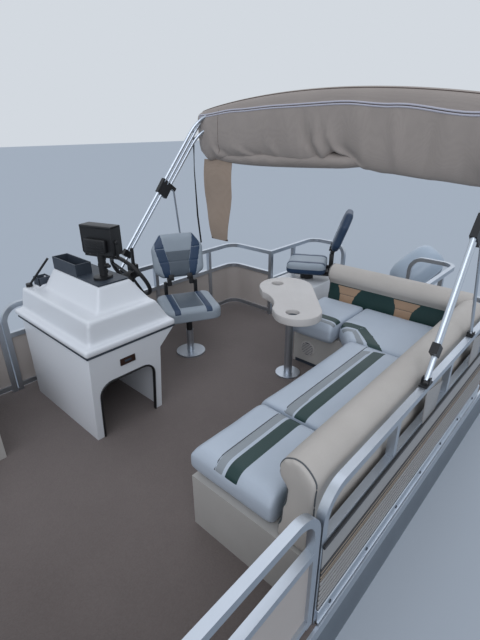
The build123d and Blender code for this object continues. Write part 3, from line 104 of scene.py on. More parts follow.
def linear(colour: str) -> tuple[float, float, float, float]:
    """A hex sRGB colour as linear red, green, blue and alpha.

    Args:
        colour: Six hex digits.
    Returns:
        The four linear values.
    """
    values = [int(colour[i:i + 2], 16) / 255 for i in (0, 2, 4)]
    red, green, blue = [v / 12.92 if v <= 0.04045 else ((v + 0.055) / 1.055) ** 2.4 for v in values]
    return red, green, blue, 1.0


def add(tree: bpy.types.NodeTree, kind: str, settings: Optional[dict] = None,
        inputs: Optional[dict] = None) -> bpy.types.Node:
    """Adds a node with its settings and its inputs' values or links.

    Args:
        tree: The node tree.
        kind: The node's type name without its ShaderNode prefix.
        settings: Attribute values of the node.
        inputs: Values or output sockets by input name or number.
    Returns:
        The new node.
    """
    made = tree.nodes.new("ShaderNode" + kind)
    for key, value in (settings or {}).items():
        setattr(made, key, value)
    for key, value in (inputs or {}).items():
        if isinstance(value, bpy.types.NodeSocket):
            tree.links.new(value, made.inputs[key])
        else:
            made.inputs[key].default_value = value
    return made


@dataclass(frozen=True)
class Finish:
    """One finish: what it is made of, its two near colours and how its surface was made."""
    name: str
    colour: str
    second: str
    surface: Surface
    roughness: float
    grain_mm: float
    slot: str
    metallic: float = 0.0
    bump: float = 0.25
    blotch_mm: float = 180.0
    sheen: float = 0.0
    coat: float = 0.0

    def material(self) -> bpy.types.Material:
        """The finish's material, made once.

        Returns:
            The Blender material.
        """
        found = bpy.data.materials.get(self.name)
        if found:
            return found
        made = bpy.data.materials.new(self.name)
        made.use_nodes = True
        tree = made.node_tree
        tree.nodes.clear()
        place = add(tree, "TexCoord").outputs["Object"]
        blotch = add(tree, "TexNoise", inputs={"Vector": place, "Scale": 1000 / self.blotch_mm, "Detail": 5.0,
                                               "Roughness": 0.6})
        height = self.grain(tree, place)
        speck = CARPET_SPECK if self.surface is Surface.CARPET else SPECK
        mixed = add(tree, "Mix", {"data_type": "FLOAT"}, {0: speck, 2: blotch.outputs[0], 3: height})
        colour = add(tree, "Mix", {"data_type": "RGBA"},
                     {0: mixed.outputs[0], 6: linear(self.colour), 7: linear(self.second)})
        rough = add(tree, "MapRange", inputs={0: blotch.outputs[0], 3: self.roughness * WORN_SMOOTH,
                                              4: min(1.0, self.roughness * WORN_ROUGH)})
        bump = add(tree, "Bump", inputs={"Strength": self.bump, "Distance": self.grain_mm * MM * GRAIN_DEPTH,
                                         "Height": height})
        shader = add(tree, "BsdfPrincipled",
                     inputs={"Base Color": colour.outputs[2], "Roughness": rough.outputs[0],
                             "Metallic": self.metallic, "Normal": bump.outputs[0],
                             "Sheen Weight": self.sheen, "Coat Weight": self.coat})
        add(tree, "OutputMaterial", inputs={0: shader.outputs[0]})
        return made

    def grain(self, tree: bpy.types.NodeTree, place: bpy.types.NodeSocket) -> bpy.types.NodeSocket:
        """The height pattern of the surface, at its grain's real size.

        Args:
            tree: The node tree.
            place: The coordinates that the pattern follows.
        Returns:
            The height, from 0 to 1.
        """
        scale = 1000 / self.grain_mm
        if self.surface is Surface.VINYL:
            cells = add(tree, "TexVoronoi", {"feature": "SMOOTH_F1"}, {"Vector": place, "Scale": scale})
            return cells.outputs["Distance"]
        if self.surface is Surface.CANVAS:
            warp = add(tree, "TexWave", {"bands_direction": "X"}, {"Vector": place, "Scale": scale / 3,
                                                                 "Distortion": 1.2, "Detail": 2.0})
            weft = add(tree, "TexWave", {"bands_direction": "Z"}, {"Vector": place, "Scale": scale / 3,
                                                                 "Distortion": 1.2, "Detail": 2.0})
            return add(tree, "Math", {"operation": "MULTIPLY"}, {0: warp.outputs["Fac"],
                                                                1: weft.outputs["Fac"]}).outputs[0]
        detail = 8.0 if self.surface is Surface.CARPET else 3.0
        return add(tree, "TexNoise", inputs={"Vector": place, "Scale": scale, "Detail": detail,
                                             "Roughness": 0.65}).outputs[0]


# Extruded aluminium, satin anodised: faint even grain and soft highlights
RAIL = Finish("anodised_rail_aluminium", "c6ccd3", "b3bac2", Surface.BRUSHED, 0.36, 5, "aluminium", 1.0, 0.10, 260)
# Bright drawn tube of the bimini bows: paler and smoother than the rails
BOW_TUBE = Finish("bright_bow_aluminium", "d3dae2", "c2cad4", Surface.BRUSHED, 0.28, 5, "aluminium", 1.0, 0.06, 200)
# Rolled marine sheet of the tubes: dull, with dried blotches
HULL_METAL = Finish("rolled_hull_aluminium", "9aa1a8", "7f868d", Surface.BRUSHED, 0.46, 9, "aluminium", 1.0, 0.15, 420)
# Baked enamel on sheet
PANEL = Finish("baked_beige_enamel", "b9b1ab", "aca49e", Surface.PAINTED, 0.42, 14, "panel_beige", 0.0, 0.05, 500)
# Cut pile marine carpet, grey brown with darker tufts; tufts drawn coarse so that they show
CARPET = Finish("marine_carpet", "807672", "524a47", Surface.CARPET, 0.95, 7, "carpet", 0.0, 0.9, 700, sheen=0.15)
# Sprayed gelcoat: smooth, a little chalky
GELCOAT = Finish("white_gelcoat", "c0c5c8", "b3b8bb", Surface.MOULDED, 0.38, 30, "white_gelcoat", 0.0, 0.04, 300,
                 coat=0.15)
# Rotomoulded seat base, warm white with scuffs
SHELL = Finish("rotomoulded_base", "c0bdb8", "aeaba6", Surface.MOULDED, 0.6, 6, "lounge_shell", 0.0, 0.12, 260)
# Coated marine vinyl, cool white: soft leather grain
WHITE_VINYL = Finish("cool_white_vinyl", "bdc7d2", "abb6c2", Surface.VINYL, 0.5, 4.5, "vinyl_white", 0.0, 0.22, 240)
BEIGE_VINYL = Finish("beige_vinyl", "c3beb7", "b1aba4", Surface.VINYL, 0.55, 4.5, "vinyl_beige", 0.0, 0.25, 220)
GREEN_VINYL = Finish("dark_green_vinyl", "1b3d3a", "13302f", Surface.VINYL, 0.45, 4.5, "vinyl_white", 0.0, 0.2, 200)
GREY_VINYL = Finish("grey_inset_vinyl", "959ca1", "858c91", Surface.VINYL, 0.5, 4.5, "vinyl_white", 0.0, 0.25, 160)
TAN_VINYL = Finish("tan_inset_vinyl", "b5977c", "a3866d", Surface.VINYL, 0.5, 4.5, "vinyl_beige", 0.0, 0.2, 200)
# Seat vinyl of the folding chairs
SEAT_GREY = Finish("mid_grey_seat_vinyl", "5b6670", "4e5862", Surface.VINYL, 0.45, 3.5, "seat_vinyl", 0.0, 0.2, 160)
SEAT_PALE = Finish("pale_grey_seat_vinyl", "9ca7b0", "8e99a3", Surface.VINYL, 0.45, 3.5, "seat_vinyl", 0.0, 0.2, 160)
SEAT_NAVY = Finish("navy_seat_vinyl", "28415e", "1f3650", Surface.VINYL, 0.42, 3.5, "seat_vinyl", 0.0, 0.2, 160)
# Injection moulded black nylon and ABS
BLACK = Finish("black_moulded_nylon", "17181b", "0f1012", Surface.MOULDED, 0.45, 3, "black_plastic", 0.0, 0.12, 90)
GREY_ABS = Finish("dark_grey_abs", "39424d", "2d353f", Surface.MOULDED, 0.5, 3, "grey_plastic", 0.0, 0.12, 120)
# Solution dyed acrylic canvas, taupe, with a plain weave drawn coarse
CANVAS = Finish("taupe_acrylic_canvas", "aba199", "99908a", Surface.CANVAS, 0.9, 4, "canvas_tan", 0.0, 0.35, 420,
                sheen=0.1)
# Sprayed enamel of the motor's cowl
COWL = Finish("pale_cowl_enamel", "a9b8c6", "9dacba", Surface.PAINTED, 0.35, 20, "motor_grey", 0.0, 0.03, 300, coat=0.3)
CASTING = Finish("dark_cast_enamel", "22272d", "1a1e23", Surface.PAINTED, 0.5, 8, "motor_dark", 0.0, 0.1, 200)

# The canvas of the tail, which the sun reaches: warmer
CANVAS_SUNNY = Finish("warm_tail_canvas", "ab998a", "998878", Surface.CANVAS, 0.9, 4, "canvas_tan", 0.0, 0.35, 300)
# The same canvas where it is doubled and stitched, darker with dirt
CANVAS_DARK = Finish("doubled_canvas_hem", "5f534c", "51463f", Surface.CANVAS, 0.9, 4, "canvas_tan", 0.0, 0.35, 200)
# Extruded vinyl piping over the zip
WHITE_PIPING = Finish("white_zip_piping", "c9c9d2", "b7b6c2", Surface.MOULDED, 0.55, 4, "canvas_tan", 0.0, 0.1, 90)
# Pressed ABS of the table, ivory with age
IVORY = Finish("ivory_abs", "c9c6c3", "bdb9b5", Surface.MOULDED, 0.42, 20, "white_gelcoat", 0.0, 0.05, 220, coat=0.1)
# The cowl's pan, mid grey as painted shade of its lower side, and its light belt
PAN_SHADE = Finish("pan_painted_shade", "77828e", "6b7681", Surface.PAINTED, 0.4, 20, "motor_grey", 0.0, 0.03, 200)
BELT = Finish("light_belt_enamel", "b4c2d0", "a9b7c5", Surface.PAINTED, 0.35, 20, "motor_grey", 0.0, 0.03, 200)
# Enamels of the cladding's bands; the dark grey between its ribs is painted shade in the grooves
RAIL_PAINT = Finish("silver_grey_enamel", "a3a19f", "959391", Surface.PAINTED, 0.4, 12, "panel_beige", 0.2, 0.06, 300)
TAN_PAINT = Finish("tan_enamel", "a3917d", "95836f", Surface.PAINTED, 0.42, 12, "panel_beige", 0.1, 0.05, 300)
# Painted shade: the dark grey that shows in the grooves between the cladding's ribs
GROOVE_SHADE = Finish("painted_groove_shade", "4a4745", "3a3836", Surface.PAINTED, 0.6, 12, "panel_beige", 0.0, 0.1, 200)
TRIM_BLACK = Finish("black_trim_enamel", "1e1d1e", "262526", Surface.PAINTED, 0.45, 12, "panel_beige", 0.0, 0.05, 300)
# Stamped brown anodised plate
BROWN_PLATE = Finish("brown_anodised_plate", "3f2a22", "33211b", Surface.PAINTED, 0.35, 6, "panel_beige", 0.3, 0.05, 60)
# Woven welt in the seams, dark with dirt
DARK_WELT = Finish("soiled_welt_cord", "5d6164", "4b4f52", Surface.MOULDED, 0.7, 3, "vinyl_beige", 0.0, 0.1, 60)
# Polyester webbing of the hold-down strap
WEBBING = Finish("black_webbing", "16181b", "101214", Surface.CANVAS, 0.8, 4, "canvas_tan", 0.0, 0.3, 60)
# Hard coated glass of the screen
GLASS_BLACK = Finish("coated_screen_glass", "101317", "0c0f12", Surface.PAINTED, 0.12, 40, "black_plastic", 0.0, 0.0,
                     90, coat=0.5)

NODE_FINISHES = {
    RAIL: ("fence_port", "fence_starboard", "bow_fence_port", "bow_fence_starboard", "side_gate_frame",
           "bow_gate_frame", "stern_rails", "deck_edge_trim", "table_post", "helm_pedestal", "bimini_strut_port",
           "bimini_strut_starboard"),
    BOW_TUBE: ("bimini_bows",),
    HULL_METAL: ("pontoon_port", "pontoon_starboard", "cross_members", "motor_pod"),
    PANEL: ("fence_panels_port", "fence_panels_starboard", "side_gate_panel", "bow_gate_panel"),
    CARPET: ("deck_board",),
    GELCOAT: ("console_base", "console_cap", "livewell_box", "table_top"),
    SHELL: ("lounge_base", "bow_base_port", "bow_base_starboard"),
    WHITE_VINYL: ("lounge_cushion_front", "lounge_cushion_middle", "lounge_cushion_corner", "bench_cushion",
                  "bow_cushion_port", "bow_cushion_starboard"),
    BEIGE_VINYL: ("lounge_backrest", "bench_backrest", "bow_backrest_port", "bow_backrest_starboard"),
    BLACK: ("steering_wheel", "steering_boss", "throttle_control", "fish_display", "light_pole", "bimini_clamps",
            "bimini_mounts", "helm_seat_frame", "fishing_seat_frame"),
    GREY_ABS: ("console_tray",),
    SEAT_GREY: ("helm_seat_cushion", "helm_seat_back", "fishing_seat_cushion", "fishing_seat_back"),
    CANVAS: ("bimini_boot",),
    COWL: ("motor_cowl",),
    CASTING: ("motor_clamp_bracket", "motor_swivel_bracket", "motor_leg", "propeller"),
}


def dress_nodes() -> None:
    """Gives every carried-over CAD node its finish."""
    for finish, names in NODE_FINISHES.items():
        for name in names:
            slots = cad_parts[name].data.materials
            slots.clear()
            slots.append(finish.material())


# Tools of the workshop
BOAT = Matrix.Translation(DECK.at(0, 0, 0))
Place = tuple[float, float, float]


def settle(name: str, shape: bmesh.types.BMesh, finishes: Sequence[Finish], body: str,
           replaces: Iterable[str] = (), angle: float = SHARP) -> bpy.types.Object:
    """Turns a finished shape into a piece that rides on a body.

    Args:
        name: The piece's name.
        shape: The mesh in the making, in the boat's frame; it is freed here.
        finishes: The piece's finishes, by material number.
        body: The body that it rides on.
        replaces: CAD nodes that it stands for.
        angle: Edges sharper than this many degrees stay sharp.
    Returns:
        The piece.
    """
    bmesh.ops.recalc_face_normals(shape, faces=shape.faces)
    mesh = bpy.data.meshes.new(name)
    shape.to_mesh(mesh)
    shape.free()
    for finish in finishes:
        mesh.materials.append(finish.material())
    mesh.shade_smooth()
    mesh.set_sharp_from_angle(angle=math.radians(angle))
    piece = bpy.data.objects.new(name, mesh)
    bpy.context.scene.collection.objects.link(piece)
    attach(piece, body)
    nodes = tuple(replaces)
    if nodes:
        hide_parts(*nodes)
    log.info("%s: %d faces on %s", name, len(mesh.polygons), body)
    return piece


class Mould:
    """A mesh in the making, drawn in millimetres in its own frame and put in its place at the end."""

    def __init__(self, place: Matrix = BOAT) -> None:
        """Starts an empty shape in the frame of its place."""
        self.place = place
        self.shape = bmesh.new()

    def block(self, low: Place, high: Place, edge: float = 0.0, segments: int = 3, number: int = 0) -> None:
        """Adds a box with rounded edges.

        Args:
            low: Its lowest corner.
            high: Its highest corner.
            edge: Radius of its edges.
            segments: Steps of the rounding.
            number: Material number of its faces.
        """
        before = set(self.shape.faces)
        a, b = Vector(low) * MM, Vector(high) * MM
        verts = bmesh.ops.create_cube(self.shape, size=1.0)["verts"]
        bmesh.ops.scale(self.shape, vec=b - a, verts=verts)
        bmesh.ops.translate(self.shape, vec=(a + b) / 2, verts=verts)
        if edge:
            self.round(list({e for v in verts for e in v.link_edges}), edge, segments)
        for face in self.shape.faces:
            if face not in before:
                face.material_index = number

    def pair(self, low: Place, high: Place, edge: float, segments: int) -> None:
        """Adds a rounded box and its mirror image on the other side of the frame's middle."""
        self.block((low[0], -high[1], low[2]), (high[0], -low[1], high[2]), edge, segments)
        self.block(low, high, edge, segments)

    def flat_edges(self) -> list[bmesh.types.BMEdge]:
        """The level edges of the shape."""
        return [e for e in self.shape.edges if abs(e.verts[0].co.z - e.verts[1].co.z) < 1e-6]

    def round(self, edges: Sequence[bmesh.types.BMEdge], radius: float, segments: int = 3) -> None:
        """Rounds some edges."""
        bmesh.ops.bevel(self.shape, geom=list(edges), offset=radius * MM, segments=segments, profile=0.5,
                        affect="EDGES", material=-1)

    def prism(self, outline: Sequence[Place], push: Place, edge: float = 0.0, segments: int = 3) -> None:
        """Adds a flat outline pushed into a solid.

        Args:
            outline: Its corners in order.
            push: How far and which way it is pushed.
            edge: Radius of its edges.
            segments: Steps of the rounding.
        """
        before = set(self.shape.faces)
        face = self.shape.faces.new([self.shape.verts.new(Vector(point) * MM) for point in outline])
        grown = bmesh.ops.extrude_face_region(self.shape, geom=[face])["geom"]
        moved = [g for g in grown if isinstance(g, bmesh.types.BMVert)]
        bmesh.ops.translate(self.shape, vec=Vector(push) * MM, verts=moved)
        made = [f for f in self.shape.faces if f not in before]
        bmesh.ops.recalc_face_normals(self.shape, faces=made)
        if edge:
            self.round(list({e for f in made for e in f.edges}), edge, segments)

    def rod(self, start: Place, end: Place, radius: float, top: Optional[float] = None, edge: float = 0.0,
            segments: int = 24) -> None:
        """Adds a round rod or cone between two points.

        Args:
            start: The middle of its first end.
            end: The middle of its other end.
            radius: Radius at the start.
            top: Radius at the end, where it differs.
            edge: Radius of its rims.
            segments: Sides of its round.
        """
        a, b = Vector(start) * MM, Vector(end) * MM
        turn = (b - a).to_track_quat("Z", "Y").to_matrix().to_4x4()
        verts = bmesh.ops.create_cone(self.shape, cap_ends=True, segments=segments, radius1=radius * MM,
                                      radius2=(radius if top is None else top) * MM, depth=(b - a).length,
                                      matrix=Matrix.Translation((a + b) / 2) @ turn)["verts"]
        if edge:
            rims = [e for e in {e for v in verts for e in v.link_edges} if any(len(f.verts) > 4 for f in e.link_faces)]
            self.round(rims, edge, 2)

    def ball(self, middle: Place, radius: float) -> None:
        """Adds a ball."""
        verts = bmesh.ops.create_uvsphere(self.shape, u_segments=20, v_segments=12, radius=radius * MM)["verts"]
        bmesh.ops.translate(self.shape, vec=Vector(middle) * MM, verts=verts)

    def tube(self, path: Sequence[Place], radius: float, segments: int = 10, flat: float = 1.0) -> None:
        """Adds a tube along a path, its rings extruded one from the next.

        Args:
            path: The points that it follows.
            radius: Its radius.
            segments: Sides of its round.
            flat: Its size across as a share of its radius.
        """
        points = [Vector(p) * MM for p in path]
        runs = [(b - a).normalized() for a, b in zip(points, points[1:])]
        ways = [runs[0], *[(a + b).normalized() for a, b in zip(runs, runs[1:])], runs[-1]]
        frames = [Matrix.Translation(p) @ w.to_track_quat("Z", "Y").to_matrix().to_4x4() for p, w in zip(points, ways)]
        ring = bmesh.ops.create_circle(self.shape, cap_ends=True, segments=segments, radius=radius * MM,
                                       matrix=frames[0] @ Matrix.Diagonal((1, flat, 1, 1)))["verts"]
        edges = list({e for v in ring for e in v.link_edges})
        for old, new in zip(frames, frames[1:]):
            grown = bmesh.ops.extrude_edge_only(self.shape, edges=edges)["geom"]
            verts = [g for g in grown if isinstance(g, bmesh.types.BMVert)]
            edges = [g for g in grown if isinstance(g, bmesh.types.BMEdge)]
            bmesh.ops.transform(self.shape, matrix=new @ old.inverted(), verts=verts)
        bmesh.ops.contextual_create(self.shape, geom=edges)

    def loft(self, rows: Sequence[Sequence[Place]], closed: bool = True) -> None:
        """Adds a skin through rows of points, each row's edges extruded to the next.

        Args:
            rows: The rows, all with as many points.
            closed: Whether each row runs round; the skin's ends are then closed too.
        """
        ring = [self.shape.verts.new(Vector(point) * MM) for point in rows[0]]
        edges = [self.shape.edges.new(pair) for pair in zip(ring, ring[1:])]
        if closed:
            edges.append(self.shape.edges.new((ring[-1], ring[0])))
            self.shape.faces.new(ring)
        for row in rows[1:]:
            order = {vert: place for vert, place in zip(ring, row)}
            grown = bmesh.ops.extrude_edge_only(self.shape, edges=edges)["geom"]
            edges = [g for g in grown if isinstance(g, bmesh.types.BMEdge)]
            partner = {}
            for vert in (g for g in grown if isinstance(g, bmesh.types.BMVert)):
                old = next(e.other_vert(vert) for e in vert.link_edges if e.other_vert(vert) in order)
                partner[old] = vert
            ring = [partner[vert] for vert in ring]
            for vert, place in zip(ring, row):
                vert.co = Vector(place) * MM
        if closed:
            self.shape.faces.new(ring)

    def finish(self, name: str, finishes: Sequence[Finish], body: str, replaces: Iterable[str] = (),
               angle: float = SHARP) -> bpy.types.Object:
        """Puts the shape in its place and settles it as a piece."""
        bmesh.ops.transform(self.shape, matrix=self.place, verts=self.shape.verts)
        return settle(name, self.shape, finishes, body, replaces, angle)


def carve(name: str, finishes: Finish | tuple[Finish, ...], *strokes: tuple, body: str = "hull",
          place: Matrix = BOAT) -> bpy.types.Object:
    """Makes a piece from strokes.

    Args:
        name: The piece's name.
        finishes: Its finish, or its finishes by material number.
        strokes: What is added to it, each a method of Mould with its sizes.
        body: The body that it rides on.
        place: The frame that it is drawn in.
    Returns:
        The piece.
    """
    mould = Mould(place)
    for draw, *sizes in strokes:
        draw(mould, *sizes)
    return mould.finish(name, finishes if isinstance(finishes, tuple) else (finishes,), body)


def bake(piece: bpy.types.Object) -> bpy.types.Mesh:
    """The mesh of an object with its modifiers applied."""
    graph = bpy.context.evaluated_depsgraph_get()
    return bpy.data.meshes.new_from_object(piece.evaluated_get(graph))


def even_skin(name: str, shape: bmesh.types.BMesh, voxel: float) -> bpy.types.Object:
    """An object with an even closed skin round a shape.

    Args:
        name: The object's name.
        shape: The shape; it is freed here.
        voxel: Size of the skin's squares in millimetres.
    Returns:
        The object, for further work.
    """
    mesh = bpy.data.meshes.new(name)
    shape.to_mesh(mesh)
    shape.free()
    start = bpy.data.objects.new(name, mesh)
    bpy.context.scene.collection.objects.link(start)
    grid = start.modifiers.new("grid", "REMESH")
    grid.mode = "VOXEL"
    grid.voxel_size = voxel * MM
    skin = bake(start)
    start.modifiers.clear()
    start.data = skin
    return start


def smooth(shape: bmesh.types.BMesh, rounds: int) -> None:
    """Smooths a shape.

    Args:
        shape: The shape.
        rounds: How many times.
    """
    for _ in range(rounds):
        bmesh.ops.smooth_vert(shape, verts=shape.verts, factor=0.5, use_axis_x=True, use_axis_y=True,
                              use_axis_z=True)


def merged(node: str) -> bmesh.types.BMesh:
    """A merged copy of a CAD node's mesh.

    Args:
        node: The CAD node.
    Returns:
        The copy.
    """
    shape = bmesh.new()
    shape.from_mesh(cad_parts[node].data)
    bmesh.ops.remove_doubles(shape, verts=shape.verts, dist=1e-5)
    return shape


def melt(node: str, finish: Finish, voxel: float, rounds: int) -> bpy.types.Object:
    """Replaces a hard-edged CAD node of the hull by a copy with softly moulded edges.

    Args:
        node: The CAD node.
        finish: Its finish.
        voxel: Size of its skin's squares in millimetres.
        rounds: Rounds of smoothing.
    Returns:
        The moulded piece.
    """
    start = even_skin(f"{node}_start", merged(node), voxel)
    shape = bmesh.new()
    shape.from_mesh(start.data)
    bpy.data.objects.remove(start)
    smooth(shape, rounds)
    return settle(f"{node}_moulded", shape, (finish,), "hull", (node,), 180.0)


def soften(node: str, edge: float, finish: Finish, length: float = 0.0) -> bpy.types.Object:
    """Replaces a hard-edged CAD node of the hull by a copy with its edges rounded.

    Args:
        node: The CAD node.
        edge: Radius of the edges in millimetres.
        finish: Its finish.
        length: Only edges longer than this are rounded.
    Returns:
        The softened piece.
    """
    shape = merged(node)
    bmesh.ops.dissolve_limit(shape, angle_limit=math.radians(1.0), verts=shape.verts, edges=shape.edges)
    sharp = [e for e in shape.edges if len(e.link_faces) == 2 and e.calc_face_angle(0.0) > math.radians(28)
             and e.calc_length() > length * MM]
    bmesh.ops.bevel(shape, geom=sharp, offset=edge * MM, segments=3, profile=0.5, affect="EDGES", material=-1,
                    clamp_overlap=True)
    return settle(f"{node}_soft", shape, (finish,), "hull", (node,), SOFT_SHARP)


def section(skin: bpy.types.Object, axis: int, inset: float) -> list[Place]:
    """The outline of a piece where a plane across an axis cuts it.

    Args:
        skin: The piece.
        axis: 0, 1 or 2 for x, y or z.
        inset: How far the plane lies inside the piece's high end, or with a minus its low end.
    Returns:
        The longest outline's points in boat millimetres, in order and back to the first.
    """
    shape = bmesh.new()
    mesh = bake(skin)
    shape.from_mesh(mesh)
    bpy.data.meshes.remove(mesh)
    reach = [vert.co[axis] for vert in shape.verts]
    through, way = Vector((0, 0, 0)), Vector((0, 0, 0))
    through[axis] = (max(reach) if inset > 0 else min(reach)) - inset * MM
    way[axis] = 1
    cut = bmesh.ops.bisect_plane(shape, geom=[*shape.verts, *shape.edges, *shape.faces], plane_co=through,
                                 plane_no=way)["geom_cut"]
    left = dict.fromkeys(g for g in cut if isinstance(g, bmesh.types.BMEdge))
    longest: list[Vector] = []
    while left:
        edge = next(iter(left))
        del left[edge]
        walk = [edge.verts[0], edge.verts[1]]
        while True:
            following = next((e for e in walk[-1].link_edges if e in left), None)
            if following is None:
                break
            del left[following]
            walk.append(following.other_vert(walk[-1]))
        if len(walk) > len(longest):
            longest = [v.co.copy() for v in walk]
    shape.free()
    home = BOAT.inverted()
    points = [(home @ co) / MM for co in longest]
    kept = [points[0]]
    for point in points:
        if (point - kept[-1]).length > WELT_STEP:
            kept.append(point)
    return [tuple(point) for point in [*kept, kept[0]]]


# Padded pieces
class View(Enum):
    """The side from which a pad's seams and inlays are drawn."""
    ABOVE = (0, 1, 2, 1)
    AHEAD = (1, 2, 0, 1)
    INBOARD = (0, 2, 1, -1)


@dataclass(frozen=True)
class Inlay:
    """A convex patch of another finish sewn into a pad, drawn in millimetres as seen from one side."""
    corners: tuple[tuple[float, float], ...]
    number: int
    groove: float = 2.5


@dataclass
class Pad:
    """A padded piece: a start shape, blown up as cloth, then cut, sewn and inlaid."""
    name: str
    body: str
    finishes: tuple[Finish, ...]
    replaces: tuple[str, ...]
    place: Matrix = BOAT
    voxel: float = 17.0
    swell: float = 9.0
    view: View = View.ABOVE
    facing: float = 0.25

    def blow(self, start: bpy.types.Object) -> None:
        """Blows the skin up as pressed cloth, each point moving no further than the swell.

        Args:
            start: The skin, which is changed.
        """
        rest = [v.co.copy() for v in start.data.vertices]
        cloth = start.modifiers.new("stuffing", "CLOTH")
        cloth.settings.use_pressure = True
        cloth.settings.uniform_pressure_force = PRESSURE
        cloth.settings.effector_weights.gravity = 0.0
        for number in range(1, FRAMES + 1):
            bpy.context.scene.frame_set(number)
        blown = bake(start)
        for vert, old, new in zip(start.data.vertices, rest, blown.vertices):
            move = new.co - old
            vert.co = old + move * min(1.0, self.swell * MM / max(move.length, 1e-9))
        start.modifiers.remove(cloth)
        bpy.data.meshes.remove(blown)
        bpy.context.scene.frame_set(1)

    def make(self, mould: Mould, inlays: Sequence[Inlay] = (), limits: Optional[tuple[Place, Place]] = None
             ) -> bpy.types.Object:
        """Makes the pad.

        Args:
            mould: Its start shape, in the pad's own frame.
            inlays: What is sewn into it.
            limits: The lowest and highest corner that it may fill, in its own frame.
        Returns:
            The finished pad.
        """
        start = even_skin(f"{self.name}_start", mould.shape, self.voxel)
        self.blow(start)
        shape = bmesh.new()
        shape.from_mesh(start.data)
        bpy.data.objects.remove(start)
        smooth(shape, PAD_ROUNDS)
        if limits:
            low, high = (Vector(c) * MM for c in limits)
            for vert in shape.verts:
                vert.co = Vector([min(max(vert.co[i], low[i]), high[i]) for i in range(3)])
        for inlay in inlays:
            self.sew(shape, inlay)
        bmesh.ops.transform(shape, matrix=self.place, verts=shape.verts)
        piece = settle(self.name, shape, self.finishes, self.body, self.replaces, PAD_SHARP)
        fine = piece.modifiers.new("fine", "SUBSURF")
        fine.levels = fine.render_levels = 1
        return piece

    def sew(self, shape: bmesh.types.BMesh, inlay: Inlay) -> None:
        """Cuts an inlay into the skin, sinks its seams and gives it its finish.

        Args:
            shape: The pad's mesh in its own frame.
            inlay: The patch.
        """
        first, second, depth, sign = self.view.value
        corners = [Vector(c) * MM for c in inlay.corners]
        reach = 2 * self.voxel * MM
        low = [min(c[i] for c in corners) - reach for i in (0, 1)]
        high = [max(c[i] for c in corners) + reach for i in (0, 1)]

        def flat(point: Vector) -> Vector:
            """A point as drawn."""
            return Vector((point[first], point[second]))

        def inside(point: Vector, slack: float) -> bool:
            """Whether a drawn point lies within the patch."""
            return all((b - a).cross(point - a) * turn >= -slack for a, b in zip(corners, corners[1:] + corners[:1]))

        turn = 1.0 if sum(a.cross(b) for a, b in zip(corners, corners[1:] + corners[:1])) > 0 else -1.0
        shape.normal_update()
        for a, b in zip(corners, corners[1:] + corners[:1]):
            near = [f for f in shape.faces if f.normal[depth] * sign > self.facing
                    and all(low[i] <= flat(f.calc_center_median())[i] <= high[i] for i in (0, 1))]
            point, way = Vector((0, 0, 0)), Vector((0, 0, 0))
            point[first], point[second] = a
            way[first], way[second] = -(b - a).y, (b - a).x
            geom = list({g for f in near for g in [f, *f.edges, *f.verts]})
            bmesh.ops.bisect_plane(shape, geom=geom, dist=1e-6, plane_co=point, plane_no=way.normalized())
        shape.normal_update()
        seams = set()
        for face in shape.faces:
            if face.normal[depth] * sign > self.facing and inside(flat(face.calc_center_median()), 0.0):
                face.material_index = inlay.number
                for edge in face.edges:
                    seams.update(edge.verts)
        rim = [v for v in seams if any(f.material_index != inlay.number for f in v.link_faces)]
        for vert in rim:
            vert.co -= vert.normal * inlay.groove * MM


def band(points: Sequence[tuple[float, float]], others: Sequence[tuple[float, float]], number: int,
         groove: float = 2.5) -> list[Inlay]:
    """A bent strip between two lines, as a row of four-cornered inlays.

    Args:
        points: One side of the strip.
        others: Its other side, with as many points.
        number: Its material number.
        groove: How deep its seams sink.
    Returns:
        The inlays in order.
    """
    rows = list(zip(points, others))
    return [Inlay((a, b, d, c), number, groove) for (a, c), (b, d) in zip(rows, rows[1:])]


def lay(skin: bpy.types.Object, path: Sequence[Place], way: Place, step: float = 25.0,
        lift: float = 0.0) -> list[Place]:
    """Points thrown onto a piece one way along straight runs.

    Args:
        skin: The piece.
        path: The runs' corners, in boat millimetres, off the piece.
        way: The way that they are thrown.
        step: Spacing of the points.
        lift: How far they stand off the skin.
    Returns:
        The points in boat millimetres.
    """
    tree = BVHTree.FromObject(skin, bpy.context.evaluated_depsgraph_get())
    home = BOAT.inverted()
    laid = []
    for a, b in zip(path, path[1:]):
        count = max(2, int((Vector(b) - Vector(a)).length / step))
        for i in range(count + (b is path[-1])):
            spot = DECK.at(*Vector(a).lerp(Vector(b), i / count))
            hit = tree.ray_cast(spot, Vector(way), 1.0)[0]
            if hit:
                laid.append(tuple((home @ hit) / MM - Vector(way) * lift))
    return laid


def squared(turn: float, power: float) -> tuple[float, float]:
    """A point of a round of radius 1, pressed towards a square by a power below 1."""
    across, along = math.cos(turn), math.sin(turn)
    return math.copysign(abs(across) ** power, across), math.copysign(abs(along) ** power, along)


def between(table: Sequence[tuple[float, float]], at: float) -> float:
    """A value read from a table, eased between its rows.

    Args:
        table: Places and values, in the order of the places.
        at: The place.
    Returns:
        The value there.
    """
    for (a, first), (b, second) in zip(table, table[1:]):
        if at <= b:
            share = min(1.0, max(0.0, (at - a) / (b - a)))
            return first + (second - first) * share * share * (3 - 2 * share)
    return table[-1][1]


def span(*nodes: str) -> tuple[Vector, Vector]:
    """The box round some CAD nodes.

    Args:
        nodes: The CAD nodes.
    Returns:
        Its lowest and highest corner, in boat millimetres.
    """
    home = BOAT.inverted()
    boxes = [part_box(node) for node in nodes]
    low = Vector([min(b[0][i] for b in boxes) for i in range(3)])
    high = Vector([max(b[1][i] for b in boxes) for i in range(3)])
    return (home @ low) / MM, (home @ high) / MM


